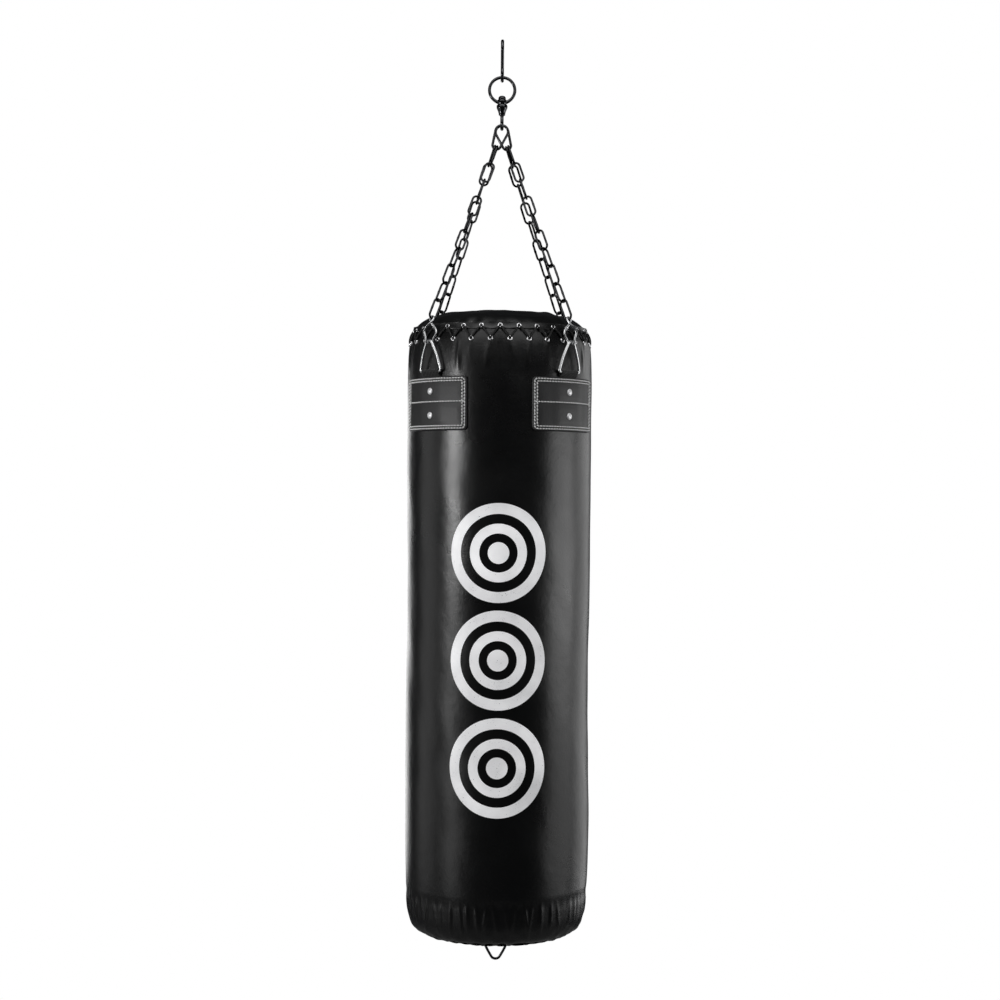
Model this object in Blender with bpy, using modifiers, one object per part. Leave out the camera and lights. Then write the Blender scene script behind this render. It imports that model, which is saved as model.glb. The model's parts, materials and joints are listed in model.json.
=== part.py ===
"""A hanging punch bag: an S-hook, a swivel, four chains and a laced, filled leather bag.

Metres, +Z up, front at -Y. The origin is the point that the bag hangs from, the inside top
of the S-hook's upper curl. The pieces below the swivel are placed at their rest, hanging.
"""

import math

import bmesh
import bpy
from mathutils import Matrix, Vector

# Driving dimensions
GAP = 0.0003  # left between pieces that touch
BAG_RADIUS = 0.1775
CROWN_Z = -0.521
BASE_Z = -1.715
LEATHER = 0.002
FLAP = 0.0014
FOAM_WALL = 0.0255
RIVET_SPACE = 0.0018  # between the shell and the foam, for the rivets' tails
CORNER_ANGLE = math.radians(45)  # the straps' bearing from the front or the back

HOOK_WIRE = 0.006
HOOK_CURL = 0.0105  # inside radius
HOOK_HEIGHT = 0.0823

RING_WIRE = 0.006
RING_RADIUS = 0.0245  # to the wire's centre
HOOK_SEAT = 2 * HOOK_WIRE - HOOK_HEIGHT  # the inside bottom of the hook's lower curl
RING_TOP = HOOK_SEAT + GAP + RING_WIRE / 2
SEAT_Z = -0.1098  # the flat seat inside the ring, under the pin's head
SEAT_HALF_DEPTH = 0.0042
SEAT_RIM = 0.0022  # how far the seat's lower edge is outside the ring's wire centre
COLLAR_RADIUS = 0.0085
COLLAR_BOTTOM = -0.1195
EYE_TOP = COLLAR_BOTTOM - GAP
PIN_RADIUS = 0.0032
PIN_HEAD_RADIUS = 0.0072
PIN_DEPTH = 0.009  # of the pin's end inside the eye's cup
BORE_SPARE = 0.01  # how far a bore's cutter runs past the open end of its hole

EYE_WIRE = 0.0065
EYE_BOTTOM = -0.1664  # the centre of the eye's lowest wire
EYE_INSIDE = (0.0186, 0.016)  # length and width
CUP_RADIUS = 0.0103

TOP_LINK_WIRE = 0.005
TOP_LINK_LENGTH = 0.048  # between the centres of its end wires
TOP_LINK_BENDS = (0.0122, 0.0080)  # the radii of its wide top and its narrow foot
TOP_LINK_SLANT = math.radians(20)
TOP_LINK_SHIFT = 0.0017
TOP_LINK_RISE = 0.0068  # of a top link's wire above the eye's wire, centre to centre

CHAIN_WIRE = 0.0044
CHAIN_LINKS = 10
CHAIN_WIDTH = 0.0122  # inside a link
CHAIN_WELD = 0.0010  # how far neighbouring links run into each other
STRAND_OFFSET = 0.0023  # of a strand from the middle of its top link
STRAND_RISE = 0.0010  # of its end wire there, as the top link's foot is round

CONNECTOR_WIRE = 0.0046
CONNECTOR_HEIGHT = 0.0512  # between the centres of its end wires
CONNECTOR_TOP_BEND = 0.0055
CONNECTOR_LOW_BEND = 0.0066
CONNECTOR_BULGE = 0.0031
CONNECTOR_DROOP = 1.3  # puts the widest place below the middle
CONNECTOR_TURNS = [(0.0, 180), (0.004, 176), (0.011, 135), (0.022, 64), (0.030, 50), (0.044, 70)]
CONNECTOR_LEAN = math.radians(10)

D_WIRE = 0.005
D_HALF_WIDTH = 0.0285
D_POINT = 0.0736  # the height of the triangle before its apex is rounded
D_CORNER = 0.0042
D_APEX = 0.0090
D_BOW = 0.0018  # how far the limbs bow out in their middles
D_HEIGHT = D_POINT + D_APEX - D_APEX / math.sin(math.atan2(D_HALF_WIDTH, D_POINT))
D_BAR_RADIUS = BAG_RADIUS + 0.0047
D_BAR_Z = -0.644
D_LEAN = math.radians(5)  # of a D-ring's apex away from the shell
BASE_RING_SQUAT = 0.855  # the base ring's height as a share of a D-ring's
BASE_BAR_Z = BASE_Z - 0.0033
BASE_TAB_HALF_WIDTH = 0.0165

STRAP_HALF_WIDTH = 0.022
STRAP_THICK = 0.0015
STRAP_BOTTOM = -0.738
STRAP_LIFTS = (0.00125, 0.00305)  # of its two layers' middles from the shell, under a patch
STRAP_SPLIT = -0.6530  # where the two layers part, on their way up to the bar
STRAP_FLAT = 0.0045  # the height over which it goes from the shell's curve to the bar's line
PATCH_HALF_WIDTH = 0.0785
PATCH_TOP = -0.654
PATCH_BOTTOM = -0.754
PATCH_CORNER = 0.009
PATCH_INNER = BAG_RADIUS + GAP
PATCH_OUTER = BAG_RADIUS + 0.0060
POCKET_DEPTH = 0.0042
RIVET_Z = (-0.681, -0.726)
RIVET_SHANK = 0.0019
RIVET_HEAD = 0.0063  # radius
RIVET_DOME = 0.0026  # how far a head's middle stands out from its rim
RIVET_TAIL = (0.0034, 0.0008)  # radius and thickness
RIVET_SIDES = 10

SIDES = ((-1, "left"), (1, "right"))
DEPTHS = ((-1, "front"), (1, "back"))

LACE_RADIUS = 0.0012
LACE_HOLES = 30
LACE_LIFT = 0.00225
LOWER_EYELETS = (0.1740, -0.584)  # radius and height
UPPER_EYELETS = (0.1672, -0.560)

TURN_STEPS = 40

# The bag's outline, as radius and height, from the crown down its outer side
CROWN = [
    (0.0000, CROWN_Z),
    (0.0950, CROWN_Z - 0.0035),
    (0.1180, CROWN_Z - 0.0075),
    (0.1360, CROWN_Z - 0.0130),
    (0.1480, CROWN_Z - 0.0185),
    (0.1580, CROWN_Z - 0.0270),
    UPPER_EYELETS,
    (0.1694, -0.5655),
]
LACED_EDGE = [(0.1712, -0.5715), LOWER_EYELETS, (0.1765, -0.610)]
SIDE = [(BAG_RADIUS, -0.640), (BAG_RADIUS, -1.500), (0.1753, -1.600)]
FOOT = [
    (0.1722, -1.655),
    (0.1692, -1.682),
    (0.1650, -1.695),
    (0.1590, -1.7025),
    (0.1490, -1.7080),
    (0.1385, BASE_Z + 0.0035),
]

LOOKS = {  # colour, roughness, metallic
    "chrome": ((0.78, 0.79, 0.80), 0.14, 1.0),
    "chain steel": ((0.62, 0.63, 0.65), 0.22, 1.0),
    "leather": ((0.012, 0.012, 0.013), 0.38, 0.0),
    "patch leather": ((0.035, 0.036, 0.038), 0.50, 0.0),
    "webbing": ((0.015, 0.015, 0.016), 0.80, 0.0),
    "lace": ((0.010, 0.010, 0.010), 0.70, 0.0),
    "foam": ((0.30, 0.31, 0.33), 0.90, 0.0),
    "textile": ((0.42, 0.40, 0.37), 0.95, 0.0),
}


def collection(name, hidden=False):
    made = bpy.data.collections.new(name)
    bpy.context.scene.collection.children.link(made)
    made.hide_render = hidden
    return made


def material(name, look):
    made = bpy.data.materials.new(name)
    made.use_nodes = True
    colour, roughness, metallic = LOOKS[look]
    shader = made.node_tree.nodes["Principled BSDF"]
    shader.inputs["Base Color"].default_value = (*colour, 1.0)
    shader.inputs["Roughness"].default_value = roughness
    shader.inputs["Metallic"].default_value = metallic
    return made


def add(name, data, look, place=None):
    """A part of the bag, with a material of its own."""
    piece = bpy.data.objects.new(name, data)
    parts.objects.link(piece)
    # a mesh may be shared, so each piece keeps its material in its own slot
    if not data.materials:
        data.materials.append(None)
    piece.material_slots[0].link = "OBJECT"
    piece.material_slots[0].material = material(name, look)
    if place is not None:
        piece.matrix_world = place
    return piece


def add_cutter(name, mesh):
    cutter = bpy.data.objects.new(name, mesh)
    cutters.objects.link(cutter)
    cutter.hide_render = True
    cutter.display_type = "WIRE"
    return cutter


def cut(piece, cutter):
    modifier = piece.modifiers.new("Cut", "BOOLEAN")
    modifier.operation = "DIFFERENCE"
    modifier.solver = "EXACT"
    modifier.object = cutter


def wire_curve(name, points, radius, resolution=2):
    """A closed loop of round wire through the points."""
    curve = bpy.data.curves.new(name, "CURVE")
    curve.dimensions = "3D"
    curve.bevel_depth = radius
    curve.bevel_resolution = resolution
    spline = curve.splines.new("POLY")
    spline.points.add(len(points) - 1)
    for slot, point in zip(spline.points, points):
        slot.co = (*point, 1.0)
    spline.use_cyclic_u = True
    spline.use_smooth = True
    return curve


def open_wire(name, points, radius):
    """A length of round wire through the points, with filled ends."""
    curve = wire_curve(name, points, radius)
    curve.use_fill_caps = True
    curve.splines[0].use_cyclic_u = False
    return curve


def mesh_of(data):
    """The curve, or a mesh object's evaluated form, as a mesh whose caps are welded on."""
    holder = data
    if not isinstance(data, bpy.types.Object):
        holder = bpy.data.objects.new("holder", data)
    if not holder.users_collection:
        bpy.context.scene.collection.objects.link(holder)
    graph = bpy.context.evaluated_depsgraph_get()
    mesh = bpy.data.meshes.new_from_object(holder.evaluated_get(graph))
    bpy.data.objects.remove(holder)
    shape = bmesh.new()
    shape.from_mesh(mesh)
    bmesh.ops.remove_doubles(shape, verts=shape.verts, dist=0.000001)
    shape.to_mesh(mesh)
    shape.free()
    return mesh


def joined(name, meshes, places):
    """One mesh of several that don't touch, each at its own place."""
    shape = bmesh.new()
    for mesh, place in zip(meshes, places):
        copy = mesh.copy()
        copy.transform(place)
        shape.from_mesh(copy)
        bpy.data.meshes.remove(copy)
    made = bpy.data.meshes.new(name)
    shape.to_mesh(made)
    shape.free()
    return made


def united(name, first, *others):
    """The union of overlapping meshes."""
    base = bpy.data.objects.new(name, first)
    bpy.context.scene.collection.objects.link(base)
    helpers = []
    for mesh in others:
        helper = bpy.data.objects.new("helper", mesh)
        bpy.context.scene.collection.objects.link(helper)
        modifier = base.modifiers.new("Join", "BOOLEAN")
        modifier.operation = "UNION"
        modifier.solver = "EXACT"
        modifier.object = helper
        helpers.append(helper)
    made = mesh_of(base)
    made.name = name
    for helper in helpers:
        bpy.data.objects.remove(helper)
    return made


def cylinder(name, radius, start, end, sides=16):
    """A solid rod from start to end."""
    start, end = Vector(start), Vector(end)
    shape = bmesh.new()
    bmesh.ops.create_cone(
        shape,
        cap_ends=True,
        segments=sides,
        radius1=radius,
        radius2=radius,
        depth=(end - start).length,
    )
    turn = (end - start).to_track_quat("Z", "Y").to_matrix().to_4x4()
    shape.transform(Matrix.Translation((start + end) / 2) @ turn)
    made = bpy.data.meshes.new(name)
    shape.to_mesh(made)
    shape.free()
    made.shade_smooth()
    made.set_sharp_from_angle(angle=math.radians(40))
    return made


def inward(profile, distance):
    """The outline moved by a distance towards the inside of the shape that it runs down."""
    points = [Vector(point) for point in profile]
    moved = []
    for i, point in enumerate(points):
        before = points[max(i - 1, 0)]
        after = points[min(i + 1, len(points) - 1)]
        along = (after - before).normalized()
        side = Vector((along.y, -along.x))
        moved.append((max(point.x + side.x * distance, 0.0), point.y + side.y * distance))
    return moved


def wall(profile, thickness):
    """The closed outline of a wall whose outer side is the profile."""
    return profile + inward(profile, thickness)[::-1]


def turned(name, profile, look=None, closed=False, steps=TURN_STEPS):
    """A profile of radius and height swept round Z. Without a look it is only a mesh object."""
    count = len(profile)
    edges = [(i, (i + 1) % count) for i in range(count if closed else count - 1)]
    mesh = bpy.data.meshes.new(name)
    mesh.from_pydata([(radius, 0.0, height) for radius, height in profile], edges, [])
    piece = bpy.data.objects.new(name, mesh)
    if look:
        bpy.data.objects.remove(piece)
        piece = add(name, mesh, look)
    screw = piece.modifiers.new("Turn", "SCREW")
    screw.axis = "Z"
    screw.angle = math.tau
    screw.steps = steps
    screw.render_steps = steps
    screw.use_merge_vertices = True
    screw.merge_threshold = 0.00001
    screw.use_smooth_shade = True
    return piece


def arc(centre, radius, start, end, steps):
    """Points of an arc in the XZ plane, its angles in degrees."""
    points = []
    for step in range(steps + 1):
        angle = math.radians(start + (end - start) * step / steps)
        place = Vector((radius * math.cos(angle), 0.0, radius * math.sin(angle)))
        points.append(centre + place)
    return points


def rounded(corners, radii, steps=4):
    """A closed outline through the corners, each rounded off by its radius."""
    points = []
    for i, corner in enumerate(corners):
        back = (corners[i - 1] - corner).normalized()
        ahead = (corners[(i + 1) % len(corners)] - corner).normalized()
        half = back.angle(ahead) / 2
        centre = corner + (back + ahead).normalized() * radii[i] / math.sin(half)
        first = corner + back * radii[i] / math.tan(half) - centre
        last = corner + ahead * radii[i] / math.tan(half) - centre
        for step in range(steps + 1):
            spoke = first.normalized().slerp(last.normalized(), step / steps)
            points.append(centre + spoke * radii[i])
    return points


def oval(inside, wire, steps):
    """The centreline of a straight-sided link in the XZ plane, from its inside length and width."""
    bend = (inside[1] + wire) / 2
    centre = Vector((0.0, 0.0, (inside[0] - inside[1]) / 2))
    return arc(centre, bend, 0, 180, steps) + arc(-centre, bend, 180, 360, steps)


def facing(angle):
    """Turns a piece made for the front, at -Y, to another bearing."""
    return Matrix.Rotation(angle, 4, "Z")


def on_bag(angle, radius, height):
    return Vector((radius * math.sin(angle), -radius * math.cos(angle), height))


def frame(place, x_axis, z_axis):
    """A placement with its Z along z_axis and its X as near as it can be to x_axis."""
    z_axis = z_axis.normalized()
    x_axis = (x_axis - x_axis.dot(z_axis) * z_axis).normalized()
    turn = Matrix((x_axis, z_axis.cross(x_axis), z_axis)).transposed()
    return Matrix.Translation(place) @ turn.to_4x4()


def s_hook():
    """An S in the YZ plane: a curl over the mount, a slanting shank and a curl below it."""
    bend = HOOK_CURL + HOOK_WIRE / 2
    upper = Vector((0.0, 0.0, -HOOK_CURL))
    lower = Vector((0.0, 0.0, HOOK_SEAT + HOOK_CURL))
    cross = math.degrees(math.asin(2 * bend / (upper - lower).length))
    path = arc(upper, bend, -25, 180 + cross, 12) + arc(lower, bend, cross, -205, 12)
    return add("s_hook", open_wire("s_hook", path, HOOK_WIRE / 2), "chrome", facing(math.pi / 2))


def swivel_ring():
    """A round ring whose lowest part is filled out to a flat seat, bored for the pin."""
    centre = Vector((0.0, 0.0, RING_TOP - RING_RADIUS))
    hoop = wire_curve("hoop", arc(centre, RING_RADIUS, 0, 345, 23), RING_WIRE / 2)
    edge_radius = RING_RADIUS + SEAT_RIM
    edge_end = -math.degrees(math.asin((centre.z - SEAT_Z + GAP) / edge_radius))
    seat_edge = arc(centre, edge_radius, -180 - edge_end, edge_end, 8)
    seat = bpy.data.curves.new("seat", "CURVE")
    seat.dimensions = "2D"
    seat.fill_mode = "BOTH"
    seat.extrude = SEAT_HALF_DEPTH
    spline = seat.splines.new("POLY")
    spline.points.add(len(seat_edge) - 1)
    for slot, point in zip(spline.points, seat_edge):
        slot.co = (point.x, point.z, 0.0, 1.0)
    spline.use_cyclic_u = True
    seat = mesh_of(seat)
    seat.transform(Matrix.Rotation(math.pi / 2, 4, "X"))
    collar = cylinder("collar", COLLAR_RADIUS, (0, 0, SEAT_Z), (0, 0, COLLAR_BOTTOM))
    piece = add("swivel_ring", united("swivel_ring", mesh_of(hoop), seat, collar), "chrome")
    top, bottom = SEAT_Z + BORE_SPARE, EYE_TOP - BORE_SPARE
    bore = cylinder("ring_bore", PIN_RADIUS + GAP, (0, 0, top), (0, 0, bottom))
    cut(piece, add_cutter("ring_bore", bore))
    return piece


def swivel_pin():
    """A mushroom-headed pin from inside the ring down into the swivel's eye."""
    foot = SEAT_Z + GAP
    profile = [
        (0.0, foot + 0.0072),
        (0.0040, foot + 0.0068),
        (0.0064, foot + 0.0052),
        (PIN_HEAD_RADIUS, foot + 0.0026),
        (PIN_HEAD_RADIUS, foot),
        (PIN_RADIUS, foot),
        (PIN_RADIUS, EYE_TOP - PIN_DEPTH),
        (0.0, EYE_TOP - PIN_DEPTH),
    ]
    return turned("swivel_pin", profile, "chrome", steps=20)


def swivel_eye():
    """A forged cup that takes the pin, drawn out to a shank and an eye in the YZ plane."""
    neck = EYE_BOTTOM + EYE_WIRE + EYE_INSIDE[0]
    profile = [
        (0.0, EYE_TOP),
        (0.0094, EYE_TOP),
        (CUP_RADIUS, EYE_TOP - 0.0012),
        (CUP_RADIUS, EYE_TOP - 0.0062),
        (0.0086, EYE_TOP - 0.0105),
        (0.0068, EYE_TOP - 0.0155),
        (0.0060, EYE_TOP - 0.0205),
        (0.0050, neck),
        (0.0, neck),
    ]
    cup = mesh_of(turned("cup", profile, steps=24))
    loop = mesh_of(wire_curve("loop", oval(EYE_INSIDE, EYE_WIRE, 8), EYE_WIRE / 2))
    middle = Vector((0, 0, EYE_BOTTOM + (EYE_INSIDE[0] + EYE_WIRE) / 2))
    loop.transform(Matrix.Translation(middle) @ facing(math.pi / 2))
    piece = add("swivel_eye", united("swivel_eye", cup, loop), "chrome")
    top, bottom = EYE_TOP + BORE_SPARE, EYE_TOP - PIN_DEPTH - GAP
    bore = cylinder("eye_bore", PIN_RADIUS + GAP, (0, 0, top), (0, 0, bottom))
    cut(piece, add_cutter("eye_bore", bore))
    return piece


def top_link_place(side):
    """The frame of a top link. The one that goes left, side -1, hangs in front of the other."""
    down = Vector((side * math.sin(TOP_LINK_SLANT), 0.0, -math.cos(TOP_LINK_SLANT)))
    across = Vector((math.cos(TOP_LINK_SLANT), 0.0, side * math.sin(TOP_LINK_SLANT)))
    middle = TOP_LINK_LENGTH / 2 - TOP_LINK_RISE
    place = Vector((0.0, side * (TOP_LINK_WIRE + GAP) / 2, EYE_BOTTOM))
    place += down * middle - side * across * TOP_LINK_SHIFT
    return frame(place, across, -down)


def top_links():
    """Two flat pear-shaped links, their wide ends in the swivel's eye."""
    wide, narrow = TOP_LINK_BENDS
    top = Vector((0.0, 0.0, TOP_LINK_LENGTH / 2 - wide))
    foot = Vector((0.0, 0.0, narrow - TOP_LINK_LENGTH / 2))
    taper = math.degrees(math.asin((wide - narrow) / (top - foot).length))
    path = arc(top, wide, -taper, 180 + taper, 12) + arc(foot, narrow, 180 + taper, 360 - taper, 8)
    link = wire_curve("top_link", path, TOP_LINK_WIRE / 2)
    for side, name in SIDES:
        add("top_link_" + name, link.copy(), "chrome", top_link_place(side))


def connector_half(share):
    """Half the width between a connector's limbs, from its top (0) to its foot (1)."""
    swell = CONNECTOR_BULGE * math.sin(math.pi * share**CONNECTOR_DROOP) ** 2
    return CONNECTOR_TOP_BEND + (CONNECTOR_LOW_BEND - CONNECTOR_TOP_BEND) * share + swell


def connector_turn(drop):
    """How far the connector has turned about its own length, at a drop below its top."""
    for (start, first), (end, last) in zip(CONNECTOR_TURNS, CONNECTOR_TURNS[1:]):
        if drop < end:
            return math.radians(first + (last - first) * max(drop - start, 0.0) / (end - start))
    return math.radians(CONNECTOR_TURNS[-1][1])


def connector(hand):
    """A link with a narrow top, twisted by a third of a turn into a wide lower loop. The hand, 1 or
    -1, is the way that it twists."""
    top = Vector((0.0, 0.0, -CONNECTOR_TOP_BEND))
    foot = Vector((0.0, 0.0, CONNECTOR_LOW_BEND - CONNECTOR_HEIGHT))
    steps = 7
    down = [step / (steps + 1) for step in range(1, steps + 1)]
    height = top.z - foot.z
    left = [Vector((-connector_half(t), 0.0, top.z - height * t)) for t in down]
    right = [Vector((connector_half(t), 0.0, top.z - height * t)) for t in down[::-1]]
    path = arc(top, CONNECTOR_TOP_BEND, 0, 180, 4) + left
    path += arc(foot, CONNECTOR_LOW_BEND, 180, 360, 4) + right
    twisted = []
    for point in path:
        twisted.append(Matrix.Rotation(hand * connector_turn(-point.z), 3, "Z") @ point)
    return wire_curve("connector", twisted, CONNECTOR_WIRE / 2)


def d_ring_place(angle):
    """Its origin and its X are on its bar, and its Z runs up it to the apex."""
    bar = Matrix.Translation(on_bag(angle, D_BAR_RADIUS, D_BAR_Z))
    return bar @ facing(angle) @ Matrix.Rotation(D_LEAN, 4, "X")


def connector_place(angle):
    """Its origin is at its top wire and its Z runs up it, with the ring's apex at its foot."""
    outward = on_bag(angle, 1.0, 0.0)
    lean = outward * math.sin(CONNECTOR_LEAN) - Vector((0, 0, math.cos(CONNECTOR_LEAN)))
    apex = d_ring_place(angle) @ Vector((0.0, 0.0, D_HEIGHT))
    foot = apex + lean * ((D_WIRE + CONNECTOR_WIRE) / 2 + 2 * GAP)
    across = facing(angle) @ Vector((1.0, 0.0, 0.0))
    return frame(foot - lean * CONNECTOR_HEIGHT, across, -lean)


def chain_ends(side, depth):
    """Where a strand's end wires run, in the top link and in the connector."""
    low = Vector((-depth * STRAND_OFFSET, 0.0, STRAND_RISE - TOP_LINK_LENGTH / 2))
    return top_link_place(side) @ low, connector_place(bearing(side, depth)).translation


def bearing(side, depth):
    """The angle from the front of the strap on one side (-1 left), at the front (-1) or back."""
    return side * (CORNER_ANGLE if depth < 0 else math.pi - CORNER_ANGLE)


def strand_place(side, depth):
    """A strand's frame: its origin in the top link, its Z up along it, its X across the link."""
    start, end = chain_ends(side, depth)
    across = top_link_place(side).to_3x3() @ Vector((1.0, 0.0, 0.0))
    return frame(start, across, start - end)


def chain(side, depth):
    """Ten links welded into one strand, down from its origin, with its last link turned so that
    it stands square to the connector's top wire."""
    start, end = chain_ends(side, depth)
    ends = (TOP_LINK_WIRE + CONNECTOR_WIRE) / 2 + 2 * GAP
    welds = (CHAIN_LINKS - 1) * CHAIN_WELD
    inside = ((start - end).length + ends - welds) / CHAIN_LINKS
    outline = oval((inside, CHAIN_WIDTH), CHAIN_WIRE, 4)
    link = mesh_of(wire_curve("link", outline, CHAIN_WIRE / 2, 1))
    wire = facing(bearing(side, depth)) @ Vector((1.0, 0.0, 0.0))
    wire = strand_place(side, depth).to_3x3().transposed() @ wire
    twist = (math.atan2(wire.y, wire.x) + math.pi / 2) % math.pi
    if twist > math.pi / 2:
        twist -= math.pi
    places = []
    for i in range(CHAIN_LINKS):
        drop = inside / 2 + i * (inside + CHAIN_WELD) - TOP_LINK_WIRE / 2 - GAP
        share = min(max((i - 2) / (CHAIN_LINKS - 5), 0.0), 1.0)
        turn = Matrix.Rotation(math.pi / 2 * (i + 1) + twist * share, 4, "Z")
        places.append(Matrix.Translation((0, 0, -drop)) @ turn)
    odd = joined("odd_links", [link] * len(places[0::2]), places[0::2])
    even = joined("even_links", [link] * len(places[1::2]), places[1::2])
    return united("chain", odd, even)


def d_outline():
    """A triangle with a straight bar at the bottom, limbs that bow out and a rounded apex."""
    corners = [(-D_HALF_WIDTH, 0.0), (D_HALF_WIDTH, 0.0), (0.0, D_POINT)]
    outline = rounded([Vector((x, 0.0, z)) for x, z in corners], [D_CORNER, D_CORNER, D_APEX])
    apex = 2 * len(outline) // 3  # the first of the apex's points
    right = bowed(outline[apex - 1], outline[apex], D_BOW)
    left = bowed(outline[-1], outline[0], -D_BOW)
    return outline[:apex] + right + outline[apex:] + left


def bowed(start, end, bow, steps=4):
    """Points between two others, moved along X by up to the bow in their middle."""
    shares = [step / steps for step in range(1, steps)]
    return [start.lerp(end, t) + Vector((bow * math.sin(math.pi * t), 0, 0)) for t in shares]


def bend_to_bag(mesh, flat_above=None):
    """Wraps a flat piece in X and Z, its Y the height over the shell, round the bag's front."""
    for vertex in mesh.vertices:
        across, lift, height = vertex.co
        radius = BAG_RADIUS - lift
        angle = across / BAG_RADIUS
        bent = Vector((radius * math.sin(angle), -radius * math.cos(angle), height))
        flat = Vector((across, -radius, height))
        share = 0.0
        if flat_above is not None:
            share = min(max((height - flat_above) / STRAP_FLAT, 0.0), 1.0)
        vertex.co = bent.lerp(flat, share)


def strip(name, rows, stations):
    """A sheet from rows of (height over the shell, height) points, repeated across its width."""
    shape = bmesh.new()
    grid = [[shape.verts.new((x, -lift, z)) for lift, z in rows] for x in stations]
    for first, second in zip(grid, grid[1:]):
        for i in range(len(rows) - 1):
            shape.faces.new((first[i], second[i], second[i + 1], first[i + 1]))
    mesh = bpy.data.meshes.new(name)
    shape.to_mesh(mesh)
    shape.free()
    return mesh


def strap():
    """Webbing that goes up behind the bar, over it, and down again in front of itself."""
    lift = D_BAR_RADIUS - BAG_RADIUS
    loop = D_WIRE / 2 + GAP + STRAP_THICK / 2
    behind, before = STRAP_LIFTS
    rows = [(behind, STRAP_BOTTOM), (behind, STRAP_SPLIT), (behind, STRAP_SPLIT + 0.0055)]
    for step in range(7):
        angle = math.radians(180 - 232 * step / 6)
        rows.append((lift + loop * math.cos(angle), D_BAR_Z + loop * math.sin(angle)))
    rows += [(before, STRAP_SPLIT), (before, STRAP_BOTTOM)]
    stations = [STRAP_HALF_WIDTH * (i / 2 - 1) for i in range(5)]
    mesh = strip("strap", rows, stations)
    bend_to_bag(mesh, flat_above=STRAP_SPLIT + 0.0005)
    return mesh


def patch():
    """A rounded rectangle of leather wrapped on the shell."""
    corner = [math.radians(90 * i / 3) for i in range(4)]
    outer = PATCH_HALF_WIDTH - PATCH_CORNER
    half = [(outer + PATCH_CORNER * math.cos(a), PATCH_CORNER * (1 - math.sin(a))) for a in corner]
    half += [(outer * (1 - i / 4), 0.0) for i in range(1, 4)]
    stations = [(-x, drop) for x, drop in half] + [(0.0, 0.0)] + half[::-1]
    shape = bmesh.new()
    pairs = []
    for x, drop in stations:
        low = shape.verts.new((x, -GAP, PATCH_BOTTOM + drop))
        high = shape.verts.new((x, -GAP, PATCH_TOP - drop))
        pairs.append((low, high))
    for (low, high), (next_low, next_high) in zip(pairs, pairs[1:]):
        shape.faces.new((low, next_low, next_high, high))
    mesh = bpy.data.meshes.new("patch")
    shape.to_mesh(mesh)
    shape.free()
    bend_to_bag(mesh)
    return mesh


def pocket_cutter():
    """The hollow behind a patch that the strap runs into."""
    rows = [(-0.001, STRAP_BOTTOM - 0.001), (-0.001, PATCH_TOP + 0.005)]
    reach = STRAP_HALF_WIDTH + 0.0008
    mesh = strip("pocket", rows, [reach * (i / 3 - 1) for i in range(7)])
    bend_to_bag(mesh)
    return mesh


def rivet_holes():
    """Rods through the four patches, their straps and the shell, where the rivets go."""
    rods = []
    for side, _ in SIDES:
        for depth, _ in DEPTHS:
            for height in RIVET_Z:
                angle = bearing(side, depth)
                start = on_bag(angle, BAG_RADIUS - 0.006, height)
                end = on_bag(angle, BAG_RADIUS + 0.012, height)
                rods.append(cylinder("rod", RIVET_SHANK + GAP, start, end, RIVET_SIDES))
    return joined("rivet_holes", rods, [Matrix()] * len(rods))


def rivet():
    """A domed rivet along its own Z, its head out and its tail spread behind the shell."""
    head = PATCH_OUTER + GAP - BAG_RADIUS
    tail = -LEATHER - GAP
    tail_radius, tail_thickness = RIVET_TAIL
    profile = [
        (0.0, head + RIVET_DOME),
        (0.6 * RIVET_HEAD, head + 0.8 * RIVET_DOME),
        (RIVET_HEAD, head + 0.2 * RIVET_DOME),
        (RIVET_HEAD, head),
        (RIVET_SHANK, head),
        (RIVET_SHANK, tail),
        (tail_radius, tail),
        (tail_radius, tail - tail_thickness),
        (0.0, tail - tail_thickness),
    ]
    return mesh_of(turned("rivet", profile, steps=RIVET_SIDES))


def corners():
    """The chain, connector, D-ring, strap, patch and rivets at each of the four corners."""
    # the back right strand is the front left one turned half round, and so are the other two
    chains = {1: chain(-1, -1), -1: chain(-1, 1)}
    connectors = {hand: connector(hand) for hand in (1, -1)}
    d_curve = wire_curve("d_ring", d_outline(), D_WIRE / 2)
    strap_mesh, patch_mesh, rivet_mesh = strap(), patch(), rivet()
    holes = add_cutter("rivet_holes", rivet_holes())
    for side, side_name in SIDES:
        for depth, depth_name in DEPTHS:
            angle = bearing(side, depth)
            corner = depth_name + "_" + side_name
            strand = chains[side * depth]
            add("chain_" + corner, strand, "chain steel", strand_place(side, depth))
            link = connectors[side * depth].copy()
            add("connector_" + corner, link, "chrome", connector_place(angle))
            add("d_ring_" + corner, d_curve.copy(), "chrome", d_ring_place(angle))

            webbing = add("strap_" + corner, strap_mesh, "webbing", facing(angle))
            thicken(webbing, STRAP_THICK, 0.0)
            cut(webbing, holes)

            leather = add("patch_" + corner, patch_mesh, "patch leather", facing(angle))
            thicken(leather, PATCH_OUTER - PATCH_INNER, 1.0)
            pocket = add_cutter("pocket_" + corner, pocket_cutter())
            pocket.matrix_world = facing(angle)
            thicken(pocket, POCKET_DEPTH + 0.001, 1.0)
            cut(leather, pocket)
            cut(leather, holes)

            for number, height in enumerate(RIVET_Z, 1):
                name = f"rivet_{corner}_{number}"
                outward = on_bag(angle, 1.0, 0.0)
                place = frame(on_bag(angle, BAG_RADIUS, height), Vector((0, 0, 1)), outward)
                add(name, rivet_mesh, "chrome", place)
    return holes


def thicken(piece, thickness, offset):
    solid = piece.modifiers.new("Thickness", "SOLIDIFY")
    solid.thickness = thickness
    solid.offset = offset
    solid.use_even_offset = True


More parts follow.
